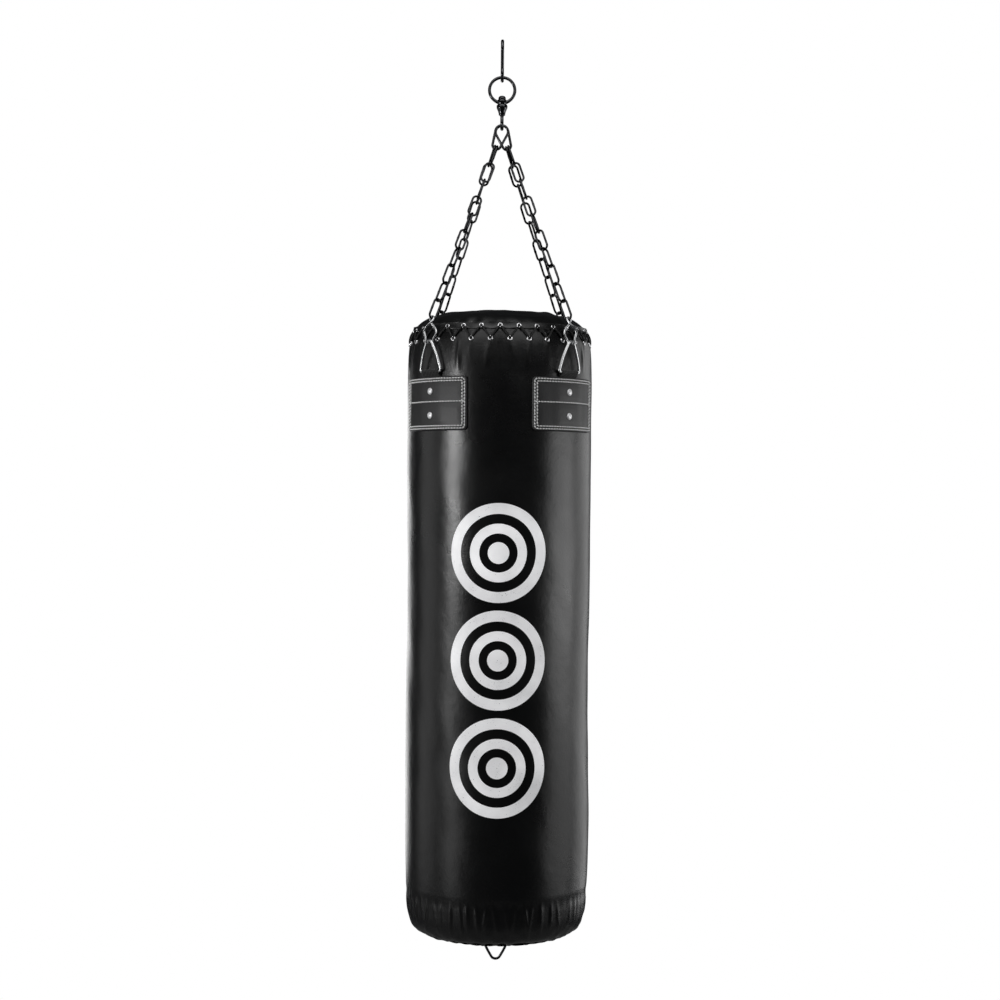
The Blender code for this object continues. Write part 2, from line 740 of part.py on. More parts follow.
def lace():
    """A cord that zigzags all round, between the crown's eyelets and the shell's."""
    points = []
    for i in range(2 * LACE_HOLES):
        radius, height = LOWER_EYELETS if i % 2 else UPPER_EYELETS
        points.append(on_bag(math.tau * i / (2 * LACE_HOLES), radius + LACE_LIFT, height))
    return add("lace", wire_curve("lace", points, LACE_RADIUS, 1), "lace")


def bag_body(holes):
    shell = turned("outer_shell", wall(LACED_EDGE + SIDE + FOOT, LEATHER), "leather", True)
    cut(shell, holes)
    turned("top_cover", CROWN + inward(CROWN, LEATHER)[::-1], "leather")
    seam = CROWN[-2:] + LACED_EDGE[:-1] + [(0.1757, -0.598)]
    flap = inward(seam, LEATHER + 2 * GAP)
    turned("closure_flap", wall(flap, FLAP), "leather", True)

    foam_radius = BAG_RADIUS - LEATHER - RIVET_SPACE
    fill_radius = foam_radius - FOAM_WALL
    foam = [
        (foam_radius - 0.0025, -0.612),
        (foam_radius, -0.640),
        (foam_radius, -1.560),
        (foam_radius - 0.0040, -1.625),
        (foam_radius - 0.0075, -1.660),
        (fill_radius, -1.660),
        (fill_radius, -0.612),
    ]
    turned("foam_liner", foam, "foam", True)
    fill = [
        (0.0, -0.563),
        (fill_radius - 0.006, -0.563),
        (fill_radius - GAP, -0.575),
        (fill_radius - GAP, -1.670),
        (fill_radius - 0.012, -1.700),
        (0.0, BASE_Z + 0.0095),
    ]
    turned("textile_fill", fill, "textile")
    pad = [
        (0.0, CROWN_Z - LEATHER - 0.0020),
        (0.1100, CROWN_Z - 0.0110),
        (0.1400, CROWN_Z - 0.0200),
        (0.1500, CROWN_Z - 0.0290),
        (0.1500, -0.5615),
        (0.0, -0.5615),
    ]
    turned("top_pad", pad, "foam")
    panel = [
        (0.0, BASE_Z + 0.0085),
        (0.1470, BASE_Z + 0.0105),
        (0.1470, BASE_Z + 0.0087),
        (0.1380, BASE_Z + 0.0070),
        (0.1370, BASE_Z + 0.0030),
        (0.1000, BASE_Z + 0.0012),
        (0.0, BASE_Z),
    ]
    turned("base_panel", panel, "leather")


def base_loop():
    """A webbing tab under the base panel, and the ring that hangs point down from its loop."""
    loop = D_WIRE / 2 + GAP + STRAP_THICK / 2
    top = BASE_Z - GAP - STRAP_THICK / 2
    rows = [(0.030, top), (loop, top)]
    for step in range(8):
        angle = -math.pi * step / 7
        rows.append((loop * math.cos(angle), BASE_BAR_Z + loop * math.sin(angle)))
    rows += [(-loop, top), (-0.030, top)]
    width = [-BASE_TAB_HALF_WIDTH, 0.0, BASE_TAB_HALF_WIDTH]
    tab = add("base_tab", strip("base_tab", rows, width), "webbing")
    thicken(tab, STRAP_THICK, 0.0)
    outline = [Vector((p.x, 0.0, -p.z * BASE_RING_SQUAT)) for p in d_outline()]
    ring = wire_curve("base_ring", outline, D_WIRE / 2)
    add("base_ring", ring, "chrome", Matrix.Translation((0.0, 0.0, BASE_BAR_Z)))


for old in list(bpy.data.objects):
    bpy.data.objects.remove(old, do_unlink=True)
parts = collection("Hanging punch bag")
cutters = collection("Cutters", hidden=True)

s_hook()
swivel_ring()
swivel_pin()
swivel_eye()
top_links()
bag_body(corners())
lace()
base_loop()
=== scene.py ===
import json
import math

import bpy
import numpy as np
from mathutils import Matrix, Vector

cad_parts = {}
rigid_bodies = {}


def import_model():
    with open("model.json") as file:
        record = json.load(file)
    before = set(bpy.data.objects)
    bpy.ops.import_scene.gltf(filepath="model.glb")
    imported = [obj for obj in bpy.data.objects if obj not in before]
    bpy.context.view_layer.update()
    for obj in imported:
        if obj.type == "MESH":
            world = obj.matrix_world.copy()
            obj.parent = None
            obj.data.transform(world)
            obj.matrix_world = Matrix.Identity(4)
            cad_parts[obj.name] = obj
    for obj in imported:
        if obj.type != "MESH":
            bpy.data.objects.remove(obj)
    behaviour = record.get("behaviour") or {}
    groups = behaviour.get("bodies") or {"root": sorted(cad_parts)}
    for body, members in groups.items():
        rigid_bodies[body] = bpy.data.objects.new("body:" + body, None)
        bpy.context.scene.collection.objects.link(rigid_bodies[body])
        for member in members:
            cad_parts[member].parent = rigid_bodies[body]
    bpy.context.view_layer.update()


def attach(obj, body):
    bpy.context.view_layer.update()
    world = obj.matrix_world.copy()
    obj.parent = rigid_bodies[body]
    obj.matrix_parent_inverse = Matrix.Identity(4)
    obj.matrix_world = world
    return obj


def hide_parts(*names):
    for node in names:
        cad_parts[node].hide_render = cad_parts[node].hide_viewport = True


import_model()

# Looks of a hanging punch bag: hanging steel whose colour is darkened to paint the dark reflections round
# it, a black laced and gathered leather bag with stitched and riveted strap patches, and a plain silver
# print of three targets with a painted glow.
# Metres, +Z up, front at -Y, in the frame of the imported model.

# Sizes that follow the CAD's. The connectors' lower loops and the lace are a little wider here.
GAP = 0.0003
BAG_RADIUS = 0.1775
CROWN_Z = -0.521
BASE_Z = -1.715
LEATHER = 0.002
CORNER_ANGLE = math.radians(45)

HOOK_WIRE = 0.006
HOOK_CURL = 0.0105
HOOK_HEIGHT = 0.0823

RING_WIRE = 0.006
RING_RADIUS = 0.0245
RING_TOP = 2 * HOOK_WIRE - HOOK_HEIGHT + GAP + RING_WIRE / 2
SEAT_Z = -0.1098
COLLAR_BOTTOM = -0.1195
PIN_DEPTH = 0.009
EYE_TOP = COLLAR_BOTTOM - GAP
EYE_WIRE = 0.0065
EYE_INSIDE = (0.0186, 0.016)
EYE_BOTTOM = -0.1664

TOP_LINK_WIRE = 0.005
TOP_LINK_LENGTH = 0.048
TOP_LINK_BENDS = (0.0122, 0.0080)
TOP_LINK_SLANT = math.radians(20)
TOP_LINK_SHIFT = 0.0017
TOP_LINK_RISE = 0.0068

CHAIN_WIRE = 0.0044
CHAIN_LINKS = 10
CHAIN_WIDTH = 0.0122
CHAIN_WELD = 0.0010
STRAND_OFFSET = 0.0023
STRAND_RISE = 0.0010

CONNECTOR_WIRE = 0.0046
CONNECTOR_HEIGHT = 0.0512
CONNECTOR_TOP_BEND = 0.0055
CONNECTOR_LOW_BEND = 0.0072
CONNECTOR_BULGE = 0.0046
CONNECTOR_DROOP = 1.3
CONNECTOR_TURNS = [(0.0, 180), (0.004, 176), (0.011, 135), (0.022, 64), (0.030, 50), (0.044, 70)]
CONNECTOR_LEAN = math.radians(10)

D_WIRE = 0.005
D_HALF_WIDTH = 0.0285
D_POINT = 0.0736
D_CORNER = 0.0042
D_APEX = 0.0090
D_BOW = 0.0018
D_HEIGHT = D_POINT + D_APEX - D_APEX / math.sin(math.atan2(D_HALF_WIDTH, D_POINT))
D_BAR_RADIUS = BAG_RADIUS + 0.0047
D_BAR_Z = -0.644
D_LEAN = math.radians(5)
BASE_RING_SQUAT = 0.855
BASE_BAR_Z = BASE_Z - 0.0033
BASE_TAB_HALF_WIDTH = 0.0165

STRAP_HALF_WIDTH = 0.022
STRAP_THICK = 0.0015
STRAP_BOTTOM = -0.738
STRAP_LIFTS = (0.00125, 0.00305)
STRAP_FLAT = (-0.6525, -0.6480)
PATCH_HALF_WIDTH = 0.0785
PATCH_TOP = -0.654
PATCH_BOTTOM = -0.754
PATCH_CORNER = 0.009
PATCH_SEAM = -0.7005
PATCH_SEAM_INSETS = (0.0036, 0.0084)
RIVET_Z = (-0.681, -0.726)
RIVET_BASE = 0.0060 + GAP
RIVET_HEAD = 0.0063
RIVET_DOME = 0.0026
RIVET_SHANK = 0.0019
RIVET_TAIL = (0.0034, 0.0008)

LACE_HOLES = 30
LACE_RADIUS = 0.0019
LACE_DIP = -0.0012
LACE_RISE = 0.0040
LOWER_EYELETS = (0.1740, -0.584)
UPPER_EYELETS = (0.1672, -0.560)


def below(top, steps):
    """A profile of (radius, height) from its radii and their drops below a height."""
    return [(radius, top - drop) for radius, drop in steps]


CROWN_MIDDLE = [(0.0, 0.0), (0.0500, 0.0010), (0.0950, 0.0035), (0.1180, 0.0075)]
CROWN_EDGE = [(0.1360, 0.0130), (0.1480, 0.0185), (0.1580, 0.0270)]
CROWN = below(CROWN_Z, CROWN_MIDDLE + CROWN_EDGE) + [UPPER_EYELETS, (0.1694, -0.5655)]
SHELL = [(0.1712, -0.5715), LOWER_EYELETS, (0.1765, -0.610)]
SHELL += [(BAG_RADIUS, height) for height in (-0.640, -0.750, -0.900, -1.500)]
SHELL += [(0.1753, -1.600), (0.1722, -1.655), (0.1692, -1.682), (0.1650, -1.695)]
SHELL += [(0.1590, -1.7025), (0.1490, -1.7080), (0.1385, BASE_Z + 0.0035)]

TARGET_Z = -1.178
TARGET_PITCH = 0.198
TARGET_BANDS = ((0.0005, 0.020), (0.036, 0.054), (0.072, 0.092))
PRINT_LIFT = 0.00025

STITCH_PITCH = 0.0060
FLOOR_Z = -2.10
CAMERA_PLACE = Vector((0.002, -3.7, -0.8825))
CAMERA_ROLL = math.radians(0.45)
CAMERA_LENS = 69.0

SIDES = ((-1, "left"), (1, "right"))
DEPTHS = ((-1, "front"), (1, "back"))


# ---------------------------------------------------------------- materials


def node(tree, kind, inputs, **settings):
    """A shader node whose inputs take values or other nodes' outputs."""
    made = tree.nodes.new("ShaderNode" + kind)
    for key, value in settings.items():
        setattr(made, key, value)
    for key, value in inputs.items():
        if isinstance(value, bpy.types.NodeSocket):
            tree.links.new(value, made.inputs[key])
        else:
            made.inputs[key].default_value = value
    return made


def coords_of(tree, kind="Object"):
    return node(tree, "TexCoord", {}).outputs[kind]


def ramp(tree, factor, low, dark, high, light):
    """A colour that goes from dark to light as the factor goes from low to high."""
    made = node(tree, "ValToRGB", {"Fac": factor})
    stops = zip(made.color_ramp.elements, (low, high), (dark, light))
    for element, position, colour in stops:
        element.position = position
        element.color = (*colour, 1.0)
    return made.outputs["Color"]


def spread(tree, value, low, high, from_low=0.3, from_high=0.7):
    inputs = {"Value": value, "From Min": from_low, "From Max": from_high}
    inputs.update({"To Min": low, "To Max": high})
    return node(tree, "MapRange", inputs).outputs["Result"]


def noise_of(tree, coords, scale, detail=3.0, rough=0.55):
    inputs = {"Vector": coords, "Scale": scale, "Detail": detail, "Roughness": rough}
    return node(tree, "TexNoise", inputs).outputs["Fac"]


def wave_of(tree, coords, scale, distortion, direction):
    inputs = {"Vector": coords, "Scale": scale, "Distortion": distortion}
    return node(tree, "TexWave", inputs, bands_direction=direction).outputs["Fac"]


def cells_of(tree, coords, scale, feature):
    inputs = {"Vector": coords, "Scale": scale}
    return node(tree, "TexVoronoi", inputs, feature=feature).outputs["Distance"]


def bump(tree, height, strength, distance, normal=None):
    inputs = {"Height": height, "Strength": strength, "Distance": distance}
    if normal is not None:
        inputs["Normal"] = normal
    return node(tree, "Bump", inputs).outputs["Normal"]


def material(name, metallic=0.0, specular=0.5):
    made = bpy.data.materials.new(name)
    made.use_nodes = True
    tree = made.node_tree
    shader = tree.nodes["Principled BSDF"]
    shader.inputs["Metallic"].default_value = metallic
    shader.inputs["Specular IOR Level"].default_value = specular
    return made, tree, shader


def wire(tree, shader, colour, roughness, normal):
    tree.links.new(colour, shader.inputs["Base Color"])
    tree.links.new(roughness, shader.inputs["Roughness"])
    tree.links.new(normal, shader.inputs["Normal"])


def steel(name, dark, light, rough_low, rough_high, metallic=1.0):
    """Plated steel: fine handling marks, faint clouding and tiny pits in the plating."""
    made, tree, shader = material(name, metallic)
    coords = coords_of(tree)
    cloud = noise_of(tree, coords, 45.0, 4.0)
    pits = noise_of(tree, coords, 900.0, 2.0)
    stretched = node(tree, "Mapping", {"Vector": coords, "Scale": (1.0, 1.0, 0.08)})
    marks = noise_of(tree, stretched.outputs["Vector"], 1500.0, 2.0)
    colour = ramp(tree, cloud, 0.30, dark, 0.70, light)
    roughness = spread(tree, marks, rough_low, rough_high)
    wire(tree, shader, colour, roughness, bump(tree, pits, 0.03, 0.0001))
    return made


def leather(name, dark, light, rough_low, rough_high, grain=0.24):
    """Coated leather: pebbled grain, fine creases, and duller, greyer places where it is rubbed."""
    made, tree, shader = material(name)
    coords = coords_of(tree)
    pebbles = cells_of(tree, coords, 620.0, "SMOOTH_F1")
    creases = noise_of(tree, coords, 210.0, 5.0, 0.65)
    swell = noise_of(tree, coords, 38.0)
    worn = noise_of(tree, coords, 5.0, 6.0, 0.6)
    colour = ramp(tree, worn, 0.35, dark, 0.72, light)
    roughness = spread(tree, worn, rough_low, rough_high)
    normal = bump(tree, swell, 0.25, 0.0022)
    normal = bump(tree, creases, grain, 0.0004, normal)
    normal = bump(tree, pebbles, grain, 0.0004, normal)
    wire(tree, shader, colour, roughness, normal)
    return made


def webbing(name, dark, light):
    """A close twill: threads along and across, from the piece's own length and width."""
    made, tree, shader = material(name, specular=0.35)
    coords = coords_of(tree, "UV")
    warp = wave_of(tree, coords, 190.0, 0.6, "X")
    weft = wave_of(tree, coords, 130.0, 0.6, "Y")
    twill = wave_of(tree, coords, 75.0, 0.4, "DIAGONAL")
    cross = node(tree, "Math", {0: warp, 1: weft}, operation="MULTIPLY").outputs["Value"]
    height = node(tree, "Math", {0: cross, 1: twill}, operation="ADD").outputs["Value"]
    fuzz = noise_of(tree, coords_of(tree), 260.0, 4.0)
    colour = ramp(tree, fuzz, 0.30, dark, 0.75, light)
    wire(tree, shader, colour, spread(tree, fuzz, 0.62, 0.85), bump(tree, height, 0.7, 0.0006))
    shader.inputs["Sheen Weight"].default_value = 0.15
    return made


def thread(name, dark, light, scale=900.0):
    """Twisted thread or braided cord."""
    made, tree, shader = material(name, specular=0.4)
    lay = wave_of(tree, coords_of(tree, "UV"), scale, 0.5, "DIAGONAL")
    fuzz = noise_of(tree, coords_of(tree), 700.0)
    colour = ramp(tree, fuzz, 0.30, dark, 0.70, light)
    wire(tree, shader, colour, spread(tree, fuzz, 0.50, 0.75), bump(tree, lay, 0.6, 0.0004))
    return made


def foil_with_painted_glow(name):
    """Silver print: bright, brushed in cloudy patches, speckled where it has rubbed off, and given a
    painted glow.
    """
    made, tree, shader = material(name)
    coords = coords_of(tree)
    cloud = noise_of(tree, coords, 9.0, 4.0)
    specks = noise_of(tree, coords, 420.0, 3.0, 0.7)
    silver = ramp(tree, cloud, 0.30, (0.62, 0.62, 0.63), 0.68, (0.96, 0.96, 0.97))
    rubbed = spread(tree, specks, 0.0, 1.0, 0.30, 0.36)
    inputs = {"Fac": rubbed, "Color1": (0.03, 0.03, 0.03, 1.0), "Color2": silver}
    colour = node(tree, "MixRGB", inputs).outputs["Color"]
    wire(tree, shader, colour, spread(tree, cloud, 0.30, 0.48), bump(tree, specks, 0.15, 0.0003))
    # Painted glow: the print's colour also drives emission, so it shines though it is no lamp.
    tree.links.new(colour, shader.inputs["Emission Color"])
    shader.inputs["Emission Strength"].default_value = 0.30
    return made


def soft_fill(name, dark, light, scale):
    """Foam cells or shredded textile."""
    made, tree, shader = material(name, specular=0.2)
    coords = coords_of(tree)
    cells = cells_of(tree, coords, scale, "F1")
    cloud = noise_of(tree, coords, scale / 6.0, 5.0, 0.7)
    colour = ramp(tree, cloud, 0.30, dark, 0.70, light)
    wire(tree, shader, colour, spread(tree, cloud, 0.80, 0.98), bump(tree, cells, 0.8, 0.002))
    return made


# Painted dark reflections: the hook, swivel, top links, foot ring and chains get near-black base colours
# that stand for dark surroundings seen in the chrome.
CHROME_PAINTED_DARK = steel("chrome_painted_dark_reflection", (0.040, 0.041, 0.043), (0.080, 0.082, 0.086), 0.08, 0.14)
CHAIN_PAINTED_DARK = steel("chain_chrome_painted_dark_reflection", (0.020, 0.0205, 0.022), (0.045, 0.046, 0.048), 0.10, 0.18)
LINK_STEEL = steel("connector_plating", (0.42, 0.425, 0.43), (0.58, 0.585, 0.59), 0.24, 0.29)
CHROME = steel("chrome", (0.56, 0.565, 0.57), (0.70, 0.705, 0.71), 0.26, 0.31)
RIVET_STEEL = steel("rivet_plating", (0.78, 0.78, 0.79), (0.92, 0.92, 0.93), 0.34, 0.44, 0.35)
EYELET_STEEL = steel("eyelet_plating", (0.74, 0.74, 0.75), (0.92, 0.92, 0.93), 0.22, 0.36)
BLACK = ((0.0008, 0.0008, 0.0009), (0.0022, 0.0022, 0.0023))
BAG_LEATHER = leather("bag_leather", *BLACK, 0.24, 0.36)
COVER_LEATHER = leather("cover_leather", *BLACK, 0.30, 0.44)
PATCH_LEATHER = leather("patch_leather", (0.013, 0.013, 0.0135), (0.024, 0.024, 0.025), 0.42, 0.56, 0.5)
WEBBING = webbing("webbing", (0.005, 0.005, 0.005), (0.012, 0.012, 0.012))
LACE_CORD = thread("lace_braid", (0.0016, 0.0016, 0.0016), (0.004, 0.004, 0.004), 260.0)
THREAD = thread("stitch_thread", (0.72, 0.72, 0.72), (0.92, 0.92, 0.91))
DARK_THREAD = thread("dark_thread", (0.020, 0.020, 0.020), (0.040, 0.040, 0.040))
PRINT = foil_with_painted_glow("silver_print_painted_glow")
FOAM = soft_fill("foam", (0.22, 0.23, 0.25), (0.34, 0.35, 0.37), 500.0)
TEXTILE = soft_fill("shredded_textile", (0.25, 0.24, 0.22), (0.55, 0.50, 0.46), 120.0)


# ---------------------------------------------------------------- mesh building


def piece(name, shape, look, body, slot, *nodes):
    """A smooth mesh piece that rides on a CAD body and stands for the CAD nodes."""
    points, faces, uv = shape
    mesh = bpy.data.meshes.new(name)
    mesh.from_pydata(points.tolist(), [], faces)
    mesh.shade_smooth()
    layer = mesh.uv_layers.new(name="UVMap")
    loops = np.empty(len(mesh.loops), np.int32)
    mesh.loops.foreach_get("vertex_index", loops)
    layer.data.foreach_set("uv", uv.astype(np.float32)[loops].ravel())
    mesh.materials.append(look)
    made = bpy.data.objects.new(name, mesh)
    bpy.context.scene.collection.objects.link(made)
    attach(made, body)
    if nodes:
        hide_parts(*nodes)
    return made


def merged(shapes):
    """Several (points, faces, uv) as one."""
    faces, start = [], 0
    for points, some_faces, _ in shapes:
        faces += [tuple(i + start for i in face) for face in some_faces]
        start += len(points)
    return np.concatenate([s[0] for s in shapes]), faces, np.concatenate([s[2] for s in shapes])


def grid(rows, uv, fill_ends=False, join_ends=False):
    """A sheet from closed rows of points, its two end rows open, filled in or joined."""
    rows = np.asarray(rows)
    high, wide = rows.shape[:2]
    index = np.arange(high * wide).reshape(high, wide)
    ahead = np.roll(index, -1, axis=1)
    quads = np.stack([index, ahead, np.roll(ahead, -1, axis=0), np.roll(index, -1, axis=0)], axis=-1)
    quads = quads if join_ends else quads[:-1]
    faces = [tuple(face) for face in quads.reshape(-1, 4).tolist()]
    if fill_ends:
        faces.append(tuple(range(wide))[::-1])
        faces.append(tuple(range((high - 1) * wide, high * wide)))
    return rows.reshape(-1, 3), faces, np.asarray(uv, float).reshape(-1, 2)


def disc(rows, uv, centre_row):
    """A sheet of closed rows, its first (0) or last (-1) row filled in to its middle."""
    points, faces, uv = grid(rows, uv)
    wide = rows.shape[1]
    start = len(points) - wide if centre_row else 0
    for i in range(wide):
        fan = (start + i, start + (i + 1) % wide, len(points))
        faces.append(fan if centre_row else fan[::-1])
    middle = rows[centre_row].mean(axis=0)
    return np.concatenate([points, [middle]]), faces, np.concatenate([uv, [(0.0, 0.0)]])


def unit(vectors):
    return vectors / np.linalg.norm(vectors, axis=-1, keepdims=True)


def lengths_of(line):
    """How far along a line each of its points is."""
    return np.concatenate([[0.0], np.cumsum(np.linalg.norm(np.diff(line, axis=0), axis=1))])


def sweep(path, radius, sides=14, closed=True):
    """A round wire along a path. Its open ends are rounded off."""
    path = np.asarray([tuple(p) for p in path], float)
    radii = np.array(np.broadcast_to(radius, len(path)), float)
    if closed:
        tangents = unit(np.roll(path, -1, axis=0) - np.roll(path, 1, axis=0))
    else:
        first, last = unit(path[0] - path[1]), unit(path[-1] - path[-2])
        turns = np.radians([82, 64, 42, 20])
        head = [path[0] + first * radii[0] * math.sin(t) for t in turns]
        tail = [path[-1] + last * radii[-1] * math.sin(t) for t in turns[::-1]]
        path = np.concatenate([head, path, tail])
        caps = np.cos(turns)
        radii = np.concatenate([radii[0] * caps, radii, radii[-1] * caps[::-1]])
        tangents = unit(np.gradient(path, axis=0))
    normal = np.array([0.31, 0.87, 0.38])
    normals = []
    for tangent in tangents:
        normal = unit(normal - normal.dot(tangent) * tangent)
        normals.append(normal)
    normals = np.array(normals)
    binormals = np.cross(tangents, normals)
    twist = 0.0
    if closed:
        carried = unit(normal - normal.dot(tangents[0]) * tangents[0])
        twist = math.atan2(carried.dot(binormals[0]), carried.dot(normals[0]))
    around = full_turn(sides)
    angles = (around - twist * np.arange(len(path))[:, None] / len(path))[..., None]
    spokes = np.cos(angles) * normals[:, None, :] + np.sin(angles) * binormals[:, None, :]
    rows = path[:, None, :] + radii[:, None, None] * spokes
    along = lengths_of(path)[:, None]
    uv = np.stack(np.broadcast_arrays(around * np.mean(radii), along), axis=-1)
    return grid(rows, uv, fill_ends=not closed, join_ends=closed)


def moved(shape, place):
    points, faces, uv = shape
    turn = np.array(place)
    return points @ turn[:3, :3].T + turn[:3, 3], faces, uv


def curved(profile, steps):
    """A smooth line through the points, passing near each at an even pace between them."""
    points = [np.asarray(p, float) for p in profile]
    points = [2 * points[0] - points[1], *points, 2 * points[-1] - points[-2]]
    line = []
    for a, b, c, d in zip(points, points[1:], points[2:], points[3:]):
        near, mid, far = (np.linalg.norm(q - p) ** 0.5 for p, q in ((a, b), (b, c), (c, d)))
        for step in range(steps):
            t = near + mid * step / steps
            ab = a + (b - a) * t / near
            bc = b + (c - b) * (t - near) / mid
            cd = c + (d - c) * (t - near - mid) / far
            abc = ab + (bc - ab) * t / (near + mid)
            bcd = bc + (cd - bc) * (t - near) / (mid + far)
            line.append(abc + (bcd - abc) * (t - near) / mid)
    line.append(points[-2])
    return np.array(line)


def resampled(line, spacing):
    """The line at even steps of about the spacing, or of the spacing that each place asks for."""
    line = np.asarray(line, float)
    lengths = lengths_of(line)
    places = [0.0]
    while places[-1] < lengths[-1]:
        here = [np.interp(places[-1], lengths, column) for column in line.T]
        places.append(places[-1] + (spacing(*here) if callable(spacing) else spacing))
    places = np.array(places) * lengths[-1] / places[-1]
    return np.stack([np.interp(places, lengths, column) for column in line.T], axis=1)


def outward_of(line):
    """The unit normals of a profile of (radius, height) that runs down the outside."""
    along = unit(np.gradient(line, axis=0))
    return np.stack([-along[:, 1], along[:, 0]], axis=1)


def full_turn(steps, start=0.0):
    return np.linspace(start, start + math.tau, steps, endpoint=False)


def round_z(radius, angle, height):
    """Points at radii and heights round Z, from the front where the angle is nought."""
    return np.stack(np.broadcast_arrays(radius * np.sin(angle), -radius * np.cos(angle), height), -1)


def lathe(profile, angles, lift=None):
    """Rows round Z from a profile, its points moved out by lift(angles, profile) along its normal."""
    radius, height = profile[:, 0:1], profile[:, 1:2]
    if lift is not None:
        out = outward_of(profile)
        amount = lift(angles[None, :], profile)
        radius = radius + out[:, 0:1] * amount
        height = height + out[:, 1:2] * amount
    rows = round_z(radius, angles, height)
    uv = np.broadcast_arrays(angles * BAG_RADIUS, -lengths_of(profile)[:, None])
    return rows, np.stack(uv, axis=-1)


def turned(profile, steps=40):
    """A small solid of revolution, its profile from its top to its bottom."""
    rows, uv = lathe(np.asarray(profile, float), full_turn(steps))
    return grid(rows[::-1], uv[::-1])


def smoothstep(value, start, end):
    """From 0 at the start to 1 at the end, whichever of the two is the larger."""
    share = np.clip((value - start) / (end - start), 0.0, 1.0)
    return share * share * (3.0 - 2.0 * share)


def hump(value, width, power=2):
    """1 where the value is nought, falling off on both sides within about the width."""
    return np.exp(-(np.abs(value / width) ** power))


def up(height):
    return Vector((0.0, 0.0, height))


def arc(centre, radius, start, end, steps):
    """Points of an arc in the XZ plane, its angles in degrees."""
    points = []
    for step in range(steps + 1):
        angle = math.radians(start + (end - start) * step / steps)
        points.append(centre + Vector((radius * math.cos(angle), 0.0, radius * math.sin(angle))))
    return points


def between(start, end, steps, bow=0.0):
    """Points between two others, moved along X by up to the bow in their middle."""
    shares = [step / steps for step in range(1, steps)]
    return [start.lerp(end, t) + Vector((bow * math.sin(math.pi * t), 0, 0)) for t in shares]


def oval(middle, length, bend, steps, side_steps=1):
    """A closed upright oval, from its right side over its top, its sides cut into steps."""
    rise = up(length / 2 - bend)
    upper = arc(middle + rise, bend, 0, 180, steps)
    lower = arc(middle - rise, bend, 180, 360, steps)
    sides = [between(a, b, side_steps) for a, b in ((upper[-1], lower[0]), (lower[-1], upper[0]))]
    return upper + sides[0] + lower + sides[1]


def rounded(corners, radii):
    """The bends of a closed outline through the corners, each rounded off."""
    steps = 10
    points = []
    for i, (corner, radius) in enumerate(zip(corners, radii)):
        back = (corners[i - 1] - corner).normalized()
        ahead = (corners[(i + 1) % len(corners)] - corner).normalized()
        half = back.angle(ahead) / 2
        centre = corner + (back + ahead).normalized() * radius / math.sin(half)
        first, last = (corner + way * radius / math.tan(half) - centre for way in (back, ahead))
        for step in range(steps + 1):
            spoke = first.normalized().slerp(last.normalized(), step / steps)
            points.append(centre + spoke * radius)
    return points


def facing(angle):
    return Matrix.Rotation(angle, 4, "Z")


def on_bag(angle, radius, height):
    return Vector((radius * math.sin(angle), -radius * math.cos(angle), height))


def frame_at(place, x_axis, z_axis):
    z_axis = z_axis.normalized()
    x_axis = (x_axis - x_axis.dot(z_axis) * z_axis).normalized()
    turn = Matrix((x_axis, z_axis.cross(x_axis), z_axis)).transposed()
    return Matrix.Translation(place) @ turn.to_4x4()


def bearing(side, depth):
    return side * (CORNER_ANGLE if depth < 0 else math.pi - CORNER_ANGLE)


# ---------------------------------------------------------------- hanging steel


def s_hook():
    bend = HOOK_CURL + HOOK_WIRE / 2
    upper = up(-HOOK_CURL)
    lower = up(2 * HOOK_WIRE + HOOK_CURL - HOOK_HEIGHT)
    cross = math.degrees(math.asin(2 * bend / (upper - lower).length))
    first = arc(upper, bend, -25, 180 + cross, 40)
    second = arc(lower, bend, cross, -205, 40)
    path = first + between(first[-1], second[0], 8) + second
    radii = np.full(len(path), HOOK_WIRE / 2 + 0.0002)
    worn = (0.90, 0.94, 0.97, 0.99)
    radii[:4] *= worn
    radii[-4:] *= worn[::-1]
    hook = moved(sweep(path, radii, 20, closed=False), facing(math.pi / 2))
    piece("hook_s", hook, CHROME_PAINTED_DARK, "hook", "hook_steel", "s_hook")


def swivel_ring():
    """A round ring, thicker at its foot, where a bored seat and collar hold the pin."""
    steps = 96
    path = arc(up(RING_TOP - RING_RADIUS), RING_RADIUS, -90, 270, steps)[:-1]
    from_foot = np.minimum(np.arange(steps), steps - np.arange(steps)) / steps * math.tau
    hoop = sweep(path, RING_WIRE / 2 * (1.0 + 0.40 * hump(from_foot, 0.42)), 20)
    seat = [(0.0040, -0.0001), (0.0072, 0.0), (0.0084, 0.0006), (0.0090, 0.0018)]
    seat += [(0.0090, 0.0042), (0.0086, 0.0056)]
    collar = [(0.0086, -0.0008), (0.0080, 0.0), (0.0036, 0.0)]
    ring = merged([hoop, turned(below(SEAT_Z, seat) + below(COLLAR_BOTTOM, collar), 48)])
    piece("swivel_hoop", ring, CHROME_PAINTED_DARK, "ring", "swivel_steel", "swivel_ring")


def swivel_pin():
    """A shank with a mushroom head that rests on the ring's seat."""
    head = [(0.0001, -0.0072), (0.0022, -0.0071), (0.0041, -0.0066), (0.0056, -0.0056)]
    head += [(0.0067, -0.0042), (0.0072, -0.0024), (0.0072, -0.0008), (0.0068, -0.0001), (0.0032, 0.0)]
    foot = [(0.0032, PIN_DEPTH), (0.0001, PIN_DEPTH)]
    pin = turned(below(SEAT_Z + GAP, head) + below(EYE_TOP, foot))
    piece("swivel_stud", pin, CHROME_PAINTED_DARK, "swivel", "swivel_steel", "swivel_pin")


